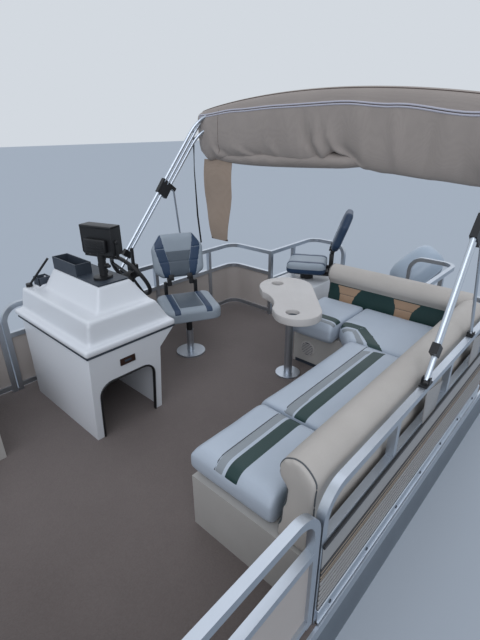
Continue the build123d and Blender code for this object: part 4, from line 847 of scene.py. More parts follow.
def turned(x: float, y: float, angle: float, z: float = 0.0) -> Matrix:
    """A frame at a place of the boat in millimetres, turned about the upright axis by degrees."""
    return Matrix.Translation(DECK.at(x, y, z)) @ Matrix.Rotation(math.radians(angle), 4, "Z")


class Side(Enum):
    """The side of a seat cushion that has the rounded nose, as its axis and end."""
    LOW_Y = (1, 0)
    HIGH_Y = (1, 1)
    HIGH_X = (0, 1)


@dataclass
class SeatRow:
    """What the lounge and the bow seats share: seat cushions and bolstered backrests."""
    nose: float = 52.0
    gap: float = 6.0
    crown: float = 14.0
    bolster: float = 76.0
    seam_drop: float = 74.0
    swoosh: tuple[tuple[float, float], ...] = ((-105, 50), (-62, 44), (-60, 62), (-84, 112))

    def cushion(self, node: str, side: Side, inlays: Sequence[Inlay], trim: Place = (0, 0, 0),
                grow: Place = (0, 0, 0), rolled: bool = False,
                ends: tuple[float, float] = (6.0, 6.0)) -> bpy.types.Object:
        """A seat cushion over its CAD block.

        Args:
            node: The CAD block.
            side: Where its nose is.
            inlays: What is sewn into its top.
            trim: How far its low end moves.
            grow: How far its high end moves.
            rolled: Whether its bow end is rolled like the nose.
            ends: How far its two ends stand in; an end that reaches past its limit is cut flat to a tight seam.
        Returns:
            The cushion.
        """
        low, high = span(node)
        low, high = low + Vector(trim), high + Vector(grow)
        mould = Mould()
        axis, end = side.value
        near, far = Vector((self.gap, self.gap, 1)), Vector((self.gap, self.gap, self.gap))
        near[1 - axis], far[1 - axis] = ends
        mould.block(tuple(low + near), tuple(high - far))
        edge_at = (low, high)[end][axis] + (self.gap if end == 0 else -self.gap)
        front = [e for e in mould.flat_edges() if all(abs(v.co[axis] / MM - edge_at) < 1 for v in e.verts)
                 or rolled and all(v.co.x / MM > high.x - self.gap - 1 for v in e.verts)]
        mould.round(front, self.nose, 5)
        limits = {Side.LOW_Y: ((1.5, -6, 0), (-1.5, 0, self.crown)), Side.HIGH_Y: ((1.5, 0, 0), (-1.5, 6, self.crown)),
                  Side.HIGH_X: ((0, 1, 0), (6, -1.5, self.crown))}[side]
        return self.pad(node).make(mould, inlays, (tuple(low + Vector(limits[0])), tuple(high + Vector(limits[1]))))

    def pad(self, node: str) -> Pad:
        """A seat cushion's pad for a CAD block."""
        return Pad(f"{node}_pad", "hull", (WHITE_VINYL, GREEN_VINYL, GREY_VINYL, BEIGE_VINYL), (node,))

    def backrest(self, node: str, place: Matrix, length: float, swooshes: Sequence[float]) -> bpy.types.Object:
        """A backrest: a bolster over a narrower green back.

        Args:
            node: The CAD solid that it stands for.
            place: Its frame: along the seat, outward and up from the foot of its inboard face.
            length: How long it is.
            swooshes: Where along it the tan swooshes are.
        Returns:
            The backrest.
        """
        low, high = span(node)
        foot, top = low.z + 2, high.z - 6
        depth = min(high.x - low.x, high.y - low.y) - 6
        radius = self.bolster
        head = top - radius
        turns = [math.radians(angle) for angle in range(-20, 241, 20)]
        arc = [(depth - radius + radius * math.cos(a), head + radius * math.sin(a)) for a in turns]
        outline = [(8.0, foot), (depth, foot), *arc, (40.0, head - 90), (38.0, head - 130)]
        mould = Mould(place)
        mould.prism([(6.0, y, z) for y, z in outline], (length - 12, 0, 0))
        seam = head - self.seam_drop
        inlays = [Inlay(((16, foot + 14), (length - 16, foot + 14), (length - 16, seam), (16, seam)), 1)]
        heights = (foot + 16, foot + 90, seam - 70, seam - 3)
        for at in swooshes:
            left, right = ([(at + reach[i], z) for reach, z in zip(self.swoosh, heights)] for i in (0, 1))
            inlays += band(left, right, 2, 1.5)
        pad = Pad(f"{node}_pad", "hull", (BEIGE_VINYL, GREEN_VINYL, TAN_VINYL), (node,), place, view=View.INBOARD,
                  swell=6.0, facing=0.1)
        return pad.make(mould, inlays, ((0, 0, foot - 2), (length, depth + 5, top + 6)))


@dataclass
class Lounge(SeatRow):
    """The L-shaped lounge to port, with its base's vent and kick strip."""
    green_lines: tuple[tuple[tuple[float, float], ...], ...] = (
        ((-1068, 737), (-1282, 512), (-1282, -20)), ((-1098, 800), (-1342, 540), (-1342, -20)))
    grey_lines: tuple[tuple[tuple[float, float], ...], ...] = (
        ((-1035, 682), (-1232, 500), (-1232, -20)), ((-1055, 722), (-1264, 508), (-1264, -20)))
    welt_y: float = 678.0
    welt_ends: tuple[float, float, float] = (-236.0, -262.0, -1116.0)
    corner_x: float = -1132.0
    corner_y: float = 368.0
    diagonal: tuple[float, float] = (-1280.0, 500.0)
    vent: Place = (-1311.0, 122.0, 138.0)

    def build(self) -> None:
        """Makes every piece of the lounge."""
        low, high = span("lounge_cushion_front", "lounge_cushion_middle")
        corner_low, corner_high = span("lounge_cushion_corner")
        green, grey = ([[(high.x + 20, line[0][1]), *line] for line in lines]
                       for lines in (self.green_lines, self.grey_lines))
        stripes = band(*green, 1) + band(*grey, 2, 1.5)
        front = self.cushion("lounge_cushion_front", Side.LOW_Y, [stripes[0], stripes[3]], rolled=True,
                             ends=(-5, self.gap))
        middle = self.cushion("lounge_cushion_middle", Side.LOW_Y, [stripes[0], stripes[3]],
                              (self.corner_x - corner_high.x, 0, 0), ends=(-5, -5))
        near, next_near, far = self.welt_ends
        for number, (skin, start, stop) in enumerate(((front, high.x - 20, near), (middle, next_near, far))):
            path = lay(skin, [(start, self.welt_y, high.z + 88), (stop, self.welt_y, high.z + 88)], (0, 0, -1))
            carve(f"stripe_welt_{number}", DARK_WELT, (Mould.tube, path, 2.6, 6))
        self.corner(corner_low, corner_high, stripes)
        self.cushion("bench_cushion", Side.HIGH_X, stripes[1:3] + stripes[4:],
                     grow=(0, self.corner_y - corner_low.y, 0), ends=(self.gap, -5))
        back_low, back_high = span("lounge_backrest")
        back = self.backrest("lounge_backrest", turned(back_low.x, back_low.y, 0), back_high.x - back_low.x,
                             (460, 1340))
        carve("keyhole_welt", DARK_WELT, (Mould.tube, section(back, 0, 17), 3.2, 8))
        rest_low, rest_high = span("bench_backrest")
        rest = self.backrest("bench_backrest", turned(rest_high.x, rest_low.y, 90), rest_high.y - rest_low.y,
                             (190, 640))
        carve("bench_end_welt", DARK_WELT, (Mould.tube, section(rest, 1, -17), 2.6, 8))
        self.base_trim()

    def corner(self, low: Vector, high: Vector, stripes: Sequence[Inlay]) -> bpy.types.Object:
        """The corner cushion, whose nose runs diagonally across the inner corner.

        Args:
            low: The CAD block's low corner.
            high: Its high corner.
            stripes: What is sewn into its top.
        Returns:
            The cushion.
        """
        gap, right, near = self.gap, self.corner_x + 5, self.corner_y - 5
        start, stop = self.diagonal
        outline = [(low.x + gap, near), (start - 12, near), (start, near + 16), (right - 14, stop), (right, stop + 12),
                   (right, high.y - gap), (low.x + gap, high.y - gap)]
        mould = Mould()
        mould.prism([(x, y, low.z + 1) for x, y in outline], (0, 0, high.z - low.z - gap - 1))
        nose = [e for e in mould.flat_edges()
                if all(start - 30 < v.co.x / MM and v.co.y / MM < stop + 35 for v in e.verts)]
        mould.round(nose, self.nose - 10, 5)
        limits = ((low.x + 1.5, self.corner_y + 1.5, low.z), (self.corner_x - 1.5, high.y, high.z + self.crown))
        return self.pad("lounge_cushion_corner").make(mould, stripes, limits)

    def base_trim(self) -> None:
        """The vent in the bench's base and the dark strip at the foot of the lounge."""
        low, high = span("lounge_base")
        x, y, z = self.vent
        carve("bench_vent_rim", IVORY, (Mould.rod, (x - 2, y, z), (x + 9, y, z), 62, 58, 3, 40))
        carve("bench_vent_mouth", GREY_ABS, (Mould.rod, (x + 7, y, z), (x + 10, y, z), 50, None, 0, 32))
        slats = []
        for rise in range(-39, 40, 13):
            half = math.sqrt(50 ** 2 - rise ** 2)
            slats.append((Mould.block, (x + 6, y - half, z + rise - 3.5), (x + 15, y + half, z + rise + 3.5), 1.5, 2))
        carve("bench_vent_slats", IVORY, *slats)
        carve("lounge_kick_strip", GREY_ABS, (Mould.block, (x - 3, low.y + 20, 0), (x + 1.5, 547, 26)),
              (Mould.block, (x, 545.5, 0), (high.x - 20, 550, 26)))


@dataclass
class BowSeats(SeatRow):
    """The two seats of the bow, striped like the lounge."""
    stripe: tuple[float, float] = (737.0, 800.0)

    def build(self) -> None:
        """Makes the seats of both sides."""
        for name, side in (("port", 1), ("starboard", -1)):
            low, high = span(f"bow_cushion_{name}")
            near, far = sorted(side * y for y in self.stripe)
            stripe = Inlay(((low.x - 20, near), (high.x + 20, near), (high.x + 20, far), (low.x - 20, far)), 1)
            self.cushion(f"bow_cushion_{name}", Side.LOW_Y if side > 0 else Side.HIGH_Y, [stripe])
            low, high = span(f"bow_backrest_{name}")
            place = turned(low.x, low.y, 0) if side > 0 else turned(high.x, high.y, 180)
            length = high.x - low.x
            self.backrest(f"bow_backrest_{name}", place, length, (length * 0.3, length * 0.7))


@dataclass
class FoldingSeat:
    """A folding chair on a swivel: two-tone cushion and winged back."""
    name: str
    x: float
    y: float
    turn: float
    cushion_z: float
    width: float
    depth: float
    recline: float
    shell: Finish = SEAT_PALE
    skirt: float = 0.0
    middle: Finish = SEAT_GREY
    thick: float = 100.0
    back_height: float = 374.0
    back_rise: float = 34.0
    pivot_rise: float = 62.0
    pivot_setback: float = 28.0
    arm_inset: float = 124.0
    corner: float = 62.0
    inset_half: float = 92.0
    stripe: tuple[float, float] = (96.0, 142.0)
    wings: tuple[tuple[float, float], ...] = ((-0.66, 0.02), (-0.97, 0.16), (-0.99, 0.68), (-0.62, 0.985),
                                              (0.62, 0.985), (0.99, 0.68), (0.97, 0.16), (0.66, 0.02))
    flank_inner: tuple[tuple[float, float], ...] = ((0.36, 0.0), (0.38, 0.38), (0.50, 0.66), (0.60, 0.99))
    flank_outer: tuple[tuple[float, float], ...] = ((0.56, 0.0), (0.72, 0.38), (0.84, 0.66), (0.80, 0.99))
    panel: tuple[tuple[float, float], ...] = ((0.36, 0.0), (0.38, 0.38), (0.47, 0.60))

    def build(self) -> None:
        """Makes the cushion, the brackets, the back and its arms."""
        place = turned(self.x, self.y, self.turn)
        self.cushion(place)
        reach = self.width / 2 - self.arm_inset
        x, z = -self.depth / 2 - self.pivot_setback, self.cushion_z
        carve(f"{self.name}_brackets", BLACK,
              (Mould.pair, (x - 15, reach + 3, z + 16), (x + 15, reach + 30, z + self.thick + 78), 4, 2),
              (Mould.pair, (x + 10, reach + 3, z - 4), (x + 60, reach + 30, z + 20), 4, 2), body=self.name, place=place)
        pivot = place @ Matrix.Translation(Vector((x, 0, z + self.thick + self.pivot_rise)) * MM) @ Matrix.Rotation(
            math.radians(-self.recline), 4, "Y")
        back = self.back(pivot @ Matrix.Translation((0, 0, self.back_rise * MM)))
        arms = carve(f"{self.name}_hinge_arms", BLACK, (Mould.pair, (-15, reach - 34, -17), (15, reach, 66), 4, 2),
                     (Mould.pair, (30, reach - 52, 26), (38, reach - 10, 74), 2, 2),
                     (Mould.pair, (10, reach - 52, 30), (33, reach - 10, 42), 2, 2),
                     body=f"{self.name}_back", place=pivot)
        arms.parent = back

    def cushion(self, place: Matrix) -> None:
        """The seat cushion, with navy stripes and a skirt.

        Args:
            place: The seat's frame.
        """
        half, deep, z = self.width / 2 - 6, self.depth / 2 - 6, self.cushion_z
        mould = Mould(place)
        mould.block((-deep, -half, z + 1), (deep, half, z + self.thick - 8))
        upright = [e for e in mould.shape.edges if abs(e.verts[0].co.z - e.verts[1].co.z) > 0.01]
        mould.round(upright, self.corner, 6)
        lid = [e for e in mould.shape.edges if all(v.co.z / MM > z + self.thick - 9 for v in e.verts)]
        mould.round(lid, 22, 3)
        inset = self.inset_half
        inlays = [Inlay(((-deep, -inset), (deep - 70, -inset), (deep - 70, inset), (-deep, inset)), 1)]
        for side in (-1, 1):
            near, far = sorted(side * y for y in self.stripe)
            inlays.append(Inlay(((-deep, near), (deep + 9, near), (deep + 9, far), (-deep, far)), 2))
        pad = Pad(f"{self.name}_cushion_pad", self.name, (SEAT_PALE, self.middle, SEAT_NAVY),
                  (f"{self.name}_cushion",), place, voxel=11.0, swell=7.0, facing=0.12)
        piece = pad.make(mould, inlays, ((-deep - 6, -half - 6, z), (deep + 8, half + 6, z + self.thick + 6)))
        for face in piece.data.polygons:
            if ((BOAT.inverted() @ face.center) / MM).z < z + self.skirt:
                face.material_index = 2

    def back(self, place: Matrix) -> bpy.types.Object:
        """The winged back, with a pale headrest, navy flanks and a grey middle.

        Args:
            place: Its frame, at the middle of its foot.
        Returns:
            The back's pad.
        """
        half, tall = (self.width - 22) / 2 - 3, self.back_height
        mould = Mould(place)
        mould.prism([(-29, y * half, z * tall) for y, z in self.wings], (58, 0, 0), 18, 4)
        inlays = []
        for side in (-1, 1):
            inner, outer = ([(side * y * half, z * tall) for y, z in line]
                            for line in (self.flank_inner, self.flank_outer))
            inlays += band(inner, outer, 2, 2.0)
        left, right = ([(side * y * half, z * tall) for y, z in self.panel] for side in (-1, 1))
        inlays += band(left, right, 1, 2.0)
        pad = Pad(f"{self.name}_back_pad", f"{self.name}_back", (self.shell, self.middle, SEAT_NAVY),
                  (f"{self.name}_back",), place, voxel=11.0, swell=7.0, view=View.AHEAD, facing=0.1)
        return pad.make(mould, inlays, ((-36, -half - 4, -2), (36, half + 4, tall + 2)))


@dataclass
class Boot:
    """The canvas boot that hangs over the folded bimini, with its zip line and loose tail."""
    middle: float = -1524.0
    end: float = 1148.0
    top_z: float = 1884.0
    fall: float = 106.0
    deep: float = 104.0
    rings: int = 150
    sides: int = 48
    square: float = 0.42
    shut: float = 18.0
    hem: tuple[tuple[float, float], ...] = ((-1148, 1452), (-1060, 1404), (-960, 1426), (-760, 1446), (-500, 1452),
                                            (-120, 1440), (20, 1444), (110, 1512), (180, 1492), (347, 1412),
                                            (467, 1398), (766, 1377), (1026, 1358), (1110, 1376), (1148, 1430))
    zip_line: tuple[tuple[float, float], ...] = ((-1120, 1741), (-1084, 1743), (-700, 1772), (-300, 1786),
                                                 (162, 1792), (500, 1766), (954, 1712), (1120, 1694))
    roll_line: tuple[tuple[float, float], ...] = ((-1090, 1420), (-1000, 1392), (-758, 1386), (123, 1400),
                                                  (341, 1411), (480, 1440))
    strap_line: tuple[Place, ...] = ((-1386, -1132, 1640), (-1376, -1133, 1340), (-1392, -1136, 965),
                                     (-1424, -1142, 720))
    tail_middle: float = -978.0
    tail_from: float = 1420.0
    tail_fall: float = 660.0
    tail_flat: tuple[float, float] = (0.32, 0.67)
    tail_area: float = 0.19
    folds: tuple[tuple[float, ...], ...] = ((-130, 1700, 10, 1445, 24, -26), (-60, 1660, 70, 1450, 28, 22),
                                            (70, 1660, 128, 1520, 22, 22), (128, 1520, 300, 1415, 24, 28),
                                            (190, 1540, 330, 1440, 24, -14), (-1010, 1560, -900, 1425, 24, 15),
                                            (-960, 1520, -760, 1440, 22, -12), (-760, 1520, -560, 1455, 24, 12),
                                            (-640, 1500, -430, 1450, 18, -10), (-420, 1560, -300, 1440, 30, 10),
                                            (520, 1700, 560, 1430, 34, 14), (760, 1680, 700, 1420, 30, -12),
                                            (930, 1600, 1060, 1380, 30, 13), (300, 1720, 240, 1560, 40, 12))

    def build(self) -> None:
        """Makes the boot, its lines, the roll under it, its tail and the strap."""
        boot = self.sleeve()
        roll = self.roll()
        self.lines(boot)
        self.tail()
        self.strap()

    def top(self, y: float) -> float:
        """Height of the boot's arched top at a place across the boat."""
        return self.top_z - self.fall * (y / self.end) ** 2

    def skin(self, y: float, angle: float) -> Place:
        """A point of the sleeve.

        Args:
            y: The place across the boat.
            angle: The turn round the sleeve.
        Returns:
            The point in boat millimetres.
        """
        high, low = self.top(y), between(self.hem, y)
        x, z = squared(angle, self.square)
        close = 1 - (abs(y) / self.end) ** self.shut
        under = (1 - z) / 2
        at_z = (high + low) / 2 + (high - low) / 2 * z * (0.90 + 0.10 * close)
        wave = 12 * noise.noise(Vector((y * 0.0065, z * 0.8, 0.3)))
        wave += 6 * noise.noise(Vector((y * 0.02, under * 2, 2.1)))
        crease = 0.0
        if x > 0:
            for first, high_z, last, low_z, width, height in self.folds:
                start, run = Vector((first, high_z)), Vector((last - first, low_z - high_z))
                share = min(1.0, max(0.0, (Vector((y, at_z)) - start).dot(run) / run.length_squared))
                away = (Vector((y, at_z)) - start - run * share).length
                crease += height * math.exp(-(away / width) ** 2) * math.sin(math.pi * (0.15 + 0.7 * share))
        lip = 1.0 - 0.30 * under ** 3
        at_x = self.middle + self.deep * x * lip * (0.72 + 0.28 * close) + wave * under + crease
        return at_x, y, at_z

    def sleeve(self) -> bpy.types.Object:
        """The sleeve, ring by ring across the boat, with its folds and cinched ends.

        Returns:
            The sleeve.
        """
        mould = Mould()
        turns = [2 * math.pi * k / self.sides for k in range(self.sides)]
        places = [self.end * math.sin(math.pi / 2 * (2 * i / self.rings - 1) * 0.999) * 0.12
                  + 0.88 * self.end * (2 * i / self.rings - 1) for i in range(self.rings + 1)]
        mould.loft([[self.skin(y, turn) for turn in turns] for y in places])
        return mould.finish("bimini_boot_canvas", (CANVAS, CANVAS_DARK), "bimini", ("bimini_boot",), SKIN_SHARP)

    def roll(self) -> bpy.types.Object:
        """The roll of canvas that shows below the sleeve's gathered edge.

        Returns:
            The roll.
        """
        mould = Mould()
        rows = []
        for i in range(61):
            y = -1080 + 1560 * i / 60
            low, close = between(self.roll_line, y), math.sin(math.pi * max(0.02, i / 60)) ** 0.3
            ring = []
            for k in range(20):
                turn = 2 * math.pi * k / 20
                ripple = 5 * noise.noise(Vector((y * 0.012, turn, 4.0)))
                ring.append((self.middle + 6 + (62 * close + ripple) * math.cos(turn), y,
                             low + 55 + 55 * close * math.sin(turn)))
            rows.append(ring)
        mould.loft(rows)
        return mould.finish("boot_inner_roll", (CANVAS, CANVAS_DARK), "bimini", (), SKIN_SHARP)

    def lines(self, boot: bpy.types.Object) -> None:
        """The white zip tape, the dark seam of the top edge and the upright seam near the end.

        Args:
            boot: The sleeve that they lie on.
        """
        off, across = self.middle + 300, range(-1120, 1121, 40)
        for name, drop, radius, finish in (("boot_zip_tape_upper", 7.0, 5.5, WHITE_PIPING),
                                           ("boot_zip_teeth", 0.0, 3.0, CANVAS_DARK),
                                           ("boot_zip_tape_lower", -7.0, 5.5, WHITE_PIPING)):
            path = lay(boot, [(off, y, between(self.zip_line, y) + drop) for y in across], (-1, 0, 0), 45, -1.0)
            carve(name, finish, (Mould.tube, path, radius, 8), body="bimini")
        top = lay(boot, [(off, y, self.top(y) - 12) for y in across], (-1, 0, 0), 45, -1.5)
        carve("boot_top_seam", CANVAS_DARK, (Mould.tube, top, 4, 6), body="bimini")
        upright = lay(boot, [(off, -881, 1780), (off, -900, 1600), (off, -918, 1450)], (-1, 0, 0), 20, -1.6)
        carve("boot_upright_seam", CANVAS_DARK, (Mould.tube, upright, 2.6, 6), body="bimini")

    def tail(self) -> None:
        """The loose tail that hangs from the boot, slightly curved, with a dark hem."""
        mould = Mould()
        middle, rows = self.tail_middle, []
        for i in range(17):
            share = i / 16
            half = 160 - 3 * share - 62 * max(0.0, share - 0.42) / 0.58
            bow = 16 * math.sin(share * 3.0) + 7 * math.sin(share * 9)
            rows.append([(-1500 + bow + 7 * (1 - side * side), middle + side * half,
                          self.tail_from - self.tail_fall * share)
                         for side in (-1, -0.5, 0, 0.5, 1)])
        mould.loft(rows, closed=False)
        bmesh.ops.solidify(mould.shape, geom=mould.shape.faces, thickness=0.004)
        piece = mould.finish("boot_tail", (CANVAS_SUNNY,), "bimini", (), PAD_SHARP)
        edge = carve("boot_tail_hem", CANVAS_DARK,
                     (Mould.block, (-1504, middle - 97, 757), (-1492, middle + 97, 774), 3, 2), body="bimini")

    def strap(self) -> None:
        """The black hold-down strap at the starboard end."""
        carve("hold_down_strap", WEBBING, (Mould.tube, self.strap_line, 4.0, 8, 2.8), body="bimini")


@dataclass
class Cladding:
    """The sheet outside the port fence's posts: its stripes, ribs, foot extrusion and gussets."""
    face_y: float = 1201.0
    start_x: float = -1750.0
    end_x: float = 224.0
    # Bands of the sheet: top, bottom, how far proud and finish number; number 3, behind the ribs, is the painted groove
    # shade
    stripes: tuple[tuple[float, float, float, int], ...] = (
        (414, 400, 7, 0), (400, 300, 1.5, 1), (300, 284, 3, 0), (284, 279, 4, 2), (279, 262, 3, 0),
        (262, 254, 4, 2), (254, 246, 3, 0), (246, 240, 4, 2), (240, 74, 1.0, 3))

    def bar(self, low: float, high: float, near: float, far: float, edge: float, segments: int,
            number: int = 0) -> tuple:
        """A stroke as long as the sheet, between two heights and two distances off its face."""
        return (Mould.block, (self.start_x, self.face_y + near, low), (self.end_x, self.face_y + far, high), edge,
                segments, number)

    def build(self) -> None:
        """Makes the sheet, its ribs, the extrusion with its bolts and the gussets below the top rail."""
        # The lowest band is painted dark as the shade in the grooves between the ribs
        carve("cladding_sheet", (TRIM_BLACK, RAIL_PAINT, TAN_PAINT, GROOVE_SHADE),
              *(self.bar(low, high, 0, proud, 0.4, 1, kind) for high, low, proud, kind in self.stripes))
        carve("cladding_ribs", RAIL_PAINT, *(self.bar(low, low + 15, 0, 5.5, 2.5, 2) for low in range(84, 215, 26)))
        carve("cladding_foot_extrusion", BOW_TUBE, self.bar(8, 74, -2, 9, 3, 3), self.bar(8, 15, 6, 13, 1.5, 2))
        carve("cladding_lower_line", TRIM_BLACK, self.bar(-2, 8, 0, 6, 1, 1))
        near, far = self.face_y + 7, self.face_y + 14
        bolts = [self.end_x - 80 - 290 * i for i in range(7)]
        carve("cladding_bolts", GREY_ABS, *((Mould.rod, (x, near, 46), (x, far, 46), 9, 6, 1.5, 16) for x in bolts))
        plate = ((-190, 560), (20, 600), (-4, 404), (-165, 404))
        carve("fence_gussets", RAIL_PAINT, *((Mould.prism, [(at + x, 1196, z) for x, z in plate], (0, 6, 0), 2, 2)
                                             for at in (-610, -1290)))


@dataclass
class Console:
    """The helm console: its moulded cap and leaning base, arch lip, painted shade under the cap's flange, plate, caddy
    and screen.
    """
    face: float = -305.0
    arch: tuple[float, float, float, float] = (-190.0, 178.0, 365.0, 80.0)
    flange: float = -233.0
    seam: tuple[float, float] = (557.0, 567.0)
    caddy: tuple[float, float, float, float] = (18.0, 97.0, -1081.0, -1002.0)
    caddy_wall: float = 8.0

    def build(self) -> None:
        """Makes the pieces of the console and softens the box under the aft seat."""
        melt("console_cap", GELCOAT, 8.0, 7)
        base = soften("console_base", 9.0, GELCOAT, 60)
        for vert in base.data.vertices:
            spot = (BOAT.inverted() @ vert.co) / MM
            if spot.y > self.face - 75:
                vert.co.y += self.lean(spot.z) * MM
        soften("livewell_box", 14.0, GELCOAT, 60)
        self.lip()
        self.plate()
        self.flange_shade_and_caddy()
        self.screen()

    def lean(self, z: float) -> float:
        """How far the port face leans out at a height, so that it meets the cap's flange."""
        return 14 + 0.098 * z

    def lip(self) -> None:
        """The black edging of the arch."""
        aft, ahead, top, radius = self.arch
        turns = [math.radians(angle) for angle in range(0, 91, 15)]
        path = [(aft, 2.0)]
        path += [(aft + radius - radius * math.cos(a), top - radius + radius * math.sin(a)) for a in turns]
        path += [(ahead - radius + radius * math.sin(a), top - radius + radius * math.cos(a)) for a in turns]
        path.append((ahead, 2.0))
        outer, inner = ([(x, self.face + out + self.lean(z), z) for x, z in path] for out in (1, -12))
        carve("arch_edging", BLACK, (Mould.tube, outer, 6.5, 10), (Mould.tube, inner, 5.0, 8))

    def plate(self) -> None:
        """The small brown plate over the arch, bare but for its slot."""
        face = self.face + self.lean(460)
        carve("console_plate", BROWN_PLATE, (Mould.block, (-58, face - 1, 438), (42, face + 5, 482), 4, 3))
        carve("console_plate_slot", GREY_ABS, (Mould.block, (-30, face + 3, 454), (14, face + 7, 467), 1.5, 2))

    def flange_shade_and_caddy(self) -> None:
        """A dark strip under the cap's flange, painted shade of the gap between cap and base, and the caddy on the cap:
        a floor and four walls.
        """
        low, high = span("console_base")
        under, over = self.seam
        # Painted shade: a dark strip in the gap under the cap's flange
        carve("flange_gap_shade", GREY_ABS,
              (Mould.block, (low.x - 8, low.y - 40, under), (high.x + 9, self.flange, over), 2, 2))
        (aft, ahead, right, left), wall = self.caddy, self.caddy_wall
        walls = ((aft, aft + wall, right, left), (ahead - wall, ahead, right, left), (aft, ahead, right, right + wall),
                 (aft, ahead, left - wall, left))
        carve("console_caddy", GREY_ABS, (Mould.block, (aft, right, 738), (ahead, left, 750), 3, 2),
              *((Mould.block, (x0, y0, 740), (x1, y1, 800), 2.5, 2) for x0, x1, y0, y1 in walls))

    def screen(self) -> None:
        """The display's hood, rear housing, yoke, ball mount and glass, and the cap's vent knob."""
        place = turned(-65, -505, 17, 873)
        carve("screen_hood", BLACK, (Mould.block, (-80, -112, 288), (4, 112, 303), 5, 3),
              (Mould.block, (-74, -110, 140), (-2, 110, 152), 4, 2), (Mould.pair, (-80, 103, 146), (2, 112, 302), 4, 3),
              *((Mould.rod, (-30, side * 106, 214), (-30, side * 124, 214), 15, 12, 2, 20) for side in (-1, 1)),
              (Mould.pair, (-40, 112, 128), (-18, 118, 222), 2, 2),
              (Mould.block, (-40, -118, 120), (-18, 118, 130), 2, 2),
              (Mould.block, (-2, -74, 158), (24, 74, 232), 7, 3),
              *((Mould.block, (20, -62, z), (27, 62, z + 5), 1.5, 2) for z in (172, 186, 200, 214)), place=place)
        carve("screen_mount", BLACK, (Mould.ball, (-29, 0, 112), 20),
              (Mould.rod, (-29, 0, 40), (-29, 0, 100), 15, 12, 2), (Mould.ball, (-29, 0, 36), 22),
              (Mould.block, (-46, -30, 58), (-12, 30, 84), 6, 3),
              (Mould.rod, (-29, 28, 71), (-29, 48, 71), 13, 9, 3, 16),
              (Mould.rod, (-29, 0, 2), (-29, 0, 14), 46, 42, 3, 32), place=place)
        carve("screen_glass", GLASS_BLACK, (Mould.block, (-64, -92, 158), (-59, 92, 280), 2, 2), place=place)
        carve("cap_vent_knob", BROWN_PLATE, (Mould.ball, (-150, -371, 690), 12))


@dataclass
class Table:
    """The moulded table top with its cup holders."""
    x: float = -1115.0
    y: float = 85.0
    turn: float = 46.0
    top: float = 622.0
    cups: tuple[tuple[float, float], ...] = ((-235, -60), (300, -44))
    cup_depth: float = 31.0
    cup_radius: float = 41.0

    def build(self) -> None:
        """Makes the softened top and the floors of its cup holders."""
        soften("table_top", 14.0, IVORY)
        low = self.top - self.cup_depth
        carve("cup_floors", GREY_ABS, *((Mould.rod, (x, y, low), (x, y, low + 4), self.cup_radius, None, 0, 32)
                                        for x, y in self.cups), place=turned(self.x, self.y, self.turn))


@dataclass
class Motor:
    """The outboard's domed cowl in the place of its CAD form, with its pan, belts, latches and link."""
    tilt_at: tuple[float, float] = (-3406.0, -130.0)
    tilt: float = 51.0
    steer: float = -33.0
    offset: float = 125.0
    length: float = 560.0
    width: float = 370.0
    middle: float = -190.0
    floor: float = 132.0
    sides: int = 48
    square: float = 0.62
    dome: tuple[tuple[float, float], ...] = ((262, 0.985), (290, 0.985), (325, 0.95), (355, 0.89), (382, 0.81),
                                             (404, 0.71), (420, 0.59), (431, 0.45), (438, 0.28), (441, 0.10))
    upper_belt: tuple[tuple[float, ...], ...] = ((250, 0.96, 0, 0), (252, 0.97, 0, 2), (258, 0.985, 0, 3),
                                                 (272, 0.985, 0, 3), (278, 0.98, 0, 1))

    def place(self) -> Matrix:
        """The motor's frame.

        Returns:
            The frame of its steering axis at the height of the tilt tube.
        """
        tilted = Matrix.Translation(DECK.at(self.tilt_at[0], 0, self.tilt_at[1])) @ Matrix.Rotation(
            math.radians(self.tilt), 4, "Y")
        steered = Matrix.Translation((-self.offset * MM, 0, 0)) @ Matrix.Rotation(math.radians(self.steer), 4, "Z")
        return tilted @ steered

    def ring(self, z: float, share: float, rake: float = 0.0, grow: float = 0.0) -> list[Place]:
        """A rounded ring of the cowl.

        Args:
            z: Its height.
            share: Its size as a share of the waist's.
            rake: How far it lies ahead.
            grow: How far it stands out.
        Returns:
            Its points in the motor's frame.
        """
        round_of = [squared(2 * math.pi * k / self.sides, self.square) for k in range(self.sides)]
        long, wide = self.length / 2 * share + grow, self.width / 2 * share + grow
        return [(self.middle + rake + x * long, y * wide, z) for x, y in round_of]

    def skin(self, name: str, finish: Finish, *skins: Sequence[tuple], replaces: Iterable[str] = ()) -> None:
        """Makes a piece of the cowl.

        Args:
            name: Its name.
            finish: Its finish.
            skins: Its skins, each given by its rings' height, share, rake and growth.
            replaces: CAD nodes that it stands for.
        """
        mould = Mould(self.place())
        for rings in skins:
            mould.loft([self.ring(*row) for row in rings])
        mould.finish(name, (finish,), "motor", replaces, COWL_SHARP)

    def build(self) -> None:
        """Makes the cowl and what is on it."""
        low = self.floor
        self.skin("motor_cowl_dome", COWL, [(z, share, -20 * (z - 270) / 260) for z, share in self.dome],
                  replaces=("motor_cowl",))
        # The pan's mid grey is painted shade of the cowl's lower side
        self.skin("motor_cowl_pan", PAN_SHADE, ((low, 0.80), (low + 12, 0.86), (200, 0.92), (250, 0.96), (263, 0.96)))
        lower = ((low + 4, 0.84, 0, 0), (low + 8, 0.86, 0, 3), (low + 24, 0.88, 0, 3), (low + 28, 0.88, 0, 0))
        self.skin("motor_cowl_belt", BELT, self.upper_belt, lower)
        x = self.middle + 60
        carve("motor_cowl_latches", BLACK,
              *((Mould.rod, (x, side * 168, 225), (x, side * 178, 225), 10, 8, 2, 16) for side in (-1, 1)),
              (Mould.block, (x + 165, -45, 215), (x + 212, 45, 246), 8, 3), body="motor", place=self.place())
        carve("motor_link_rods", CASTING, (Mould.rod, (18, 60, 102), (18, 150, 102), 9, None, 0, 16),
              (Mould.ball, (18, 150, 102), 18), (Mould.block, (-2, 60, 84), (38, 110, 134), 8, 3), body="motor",
              place=self.place())


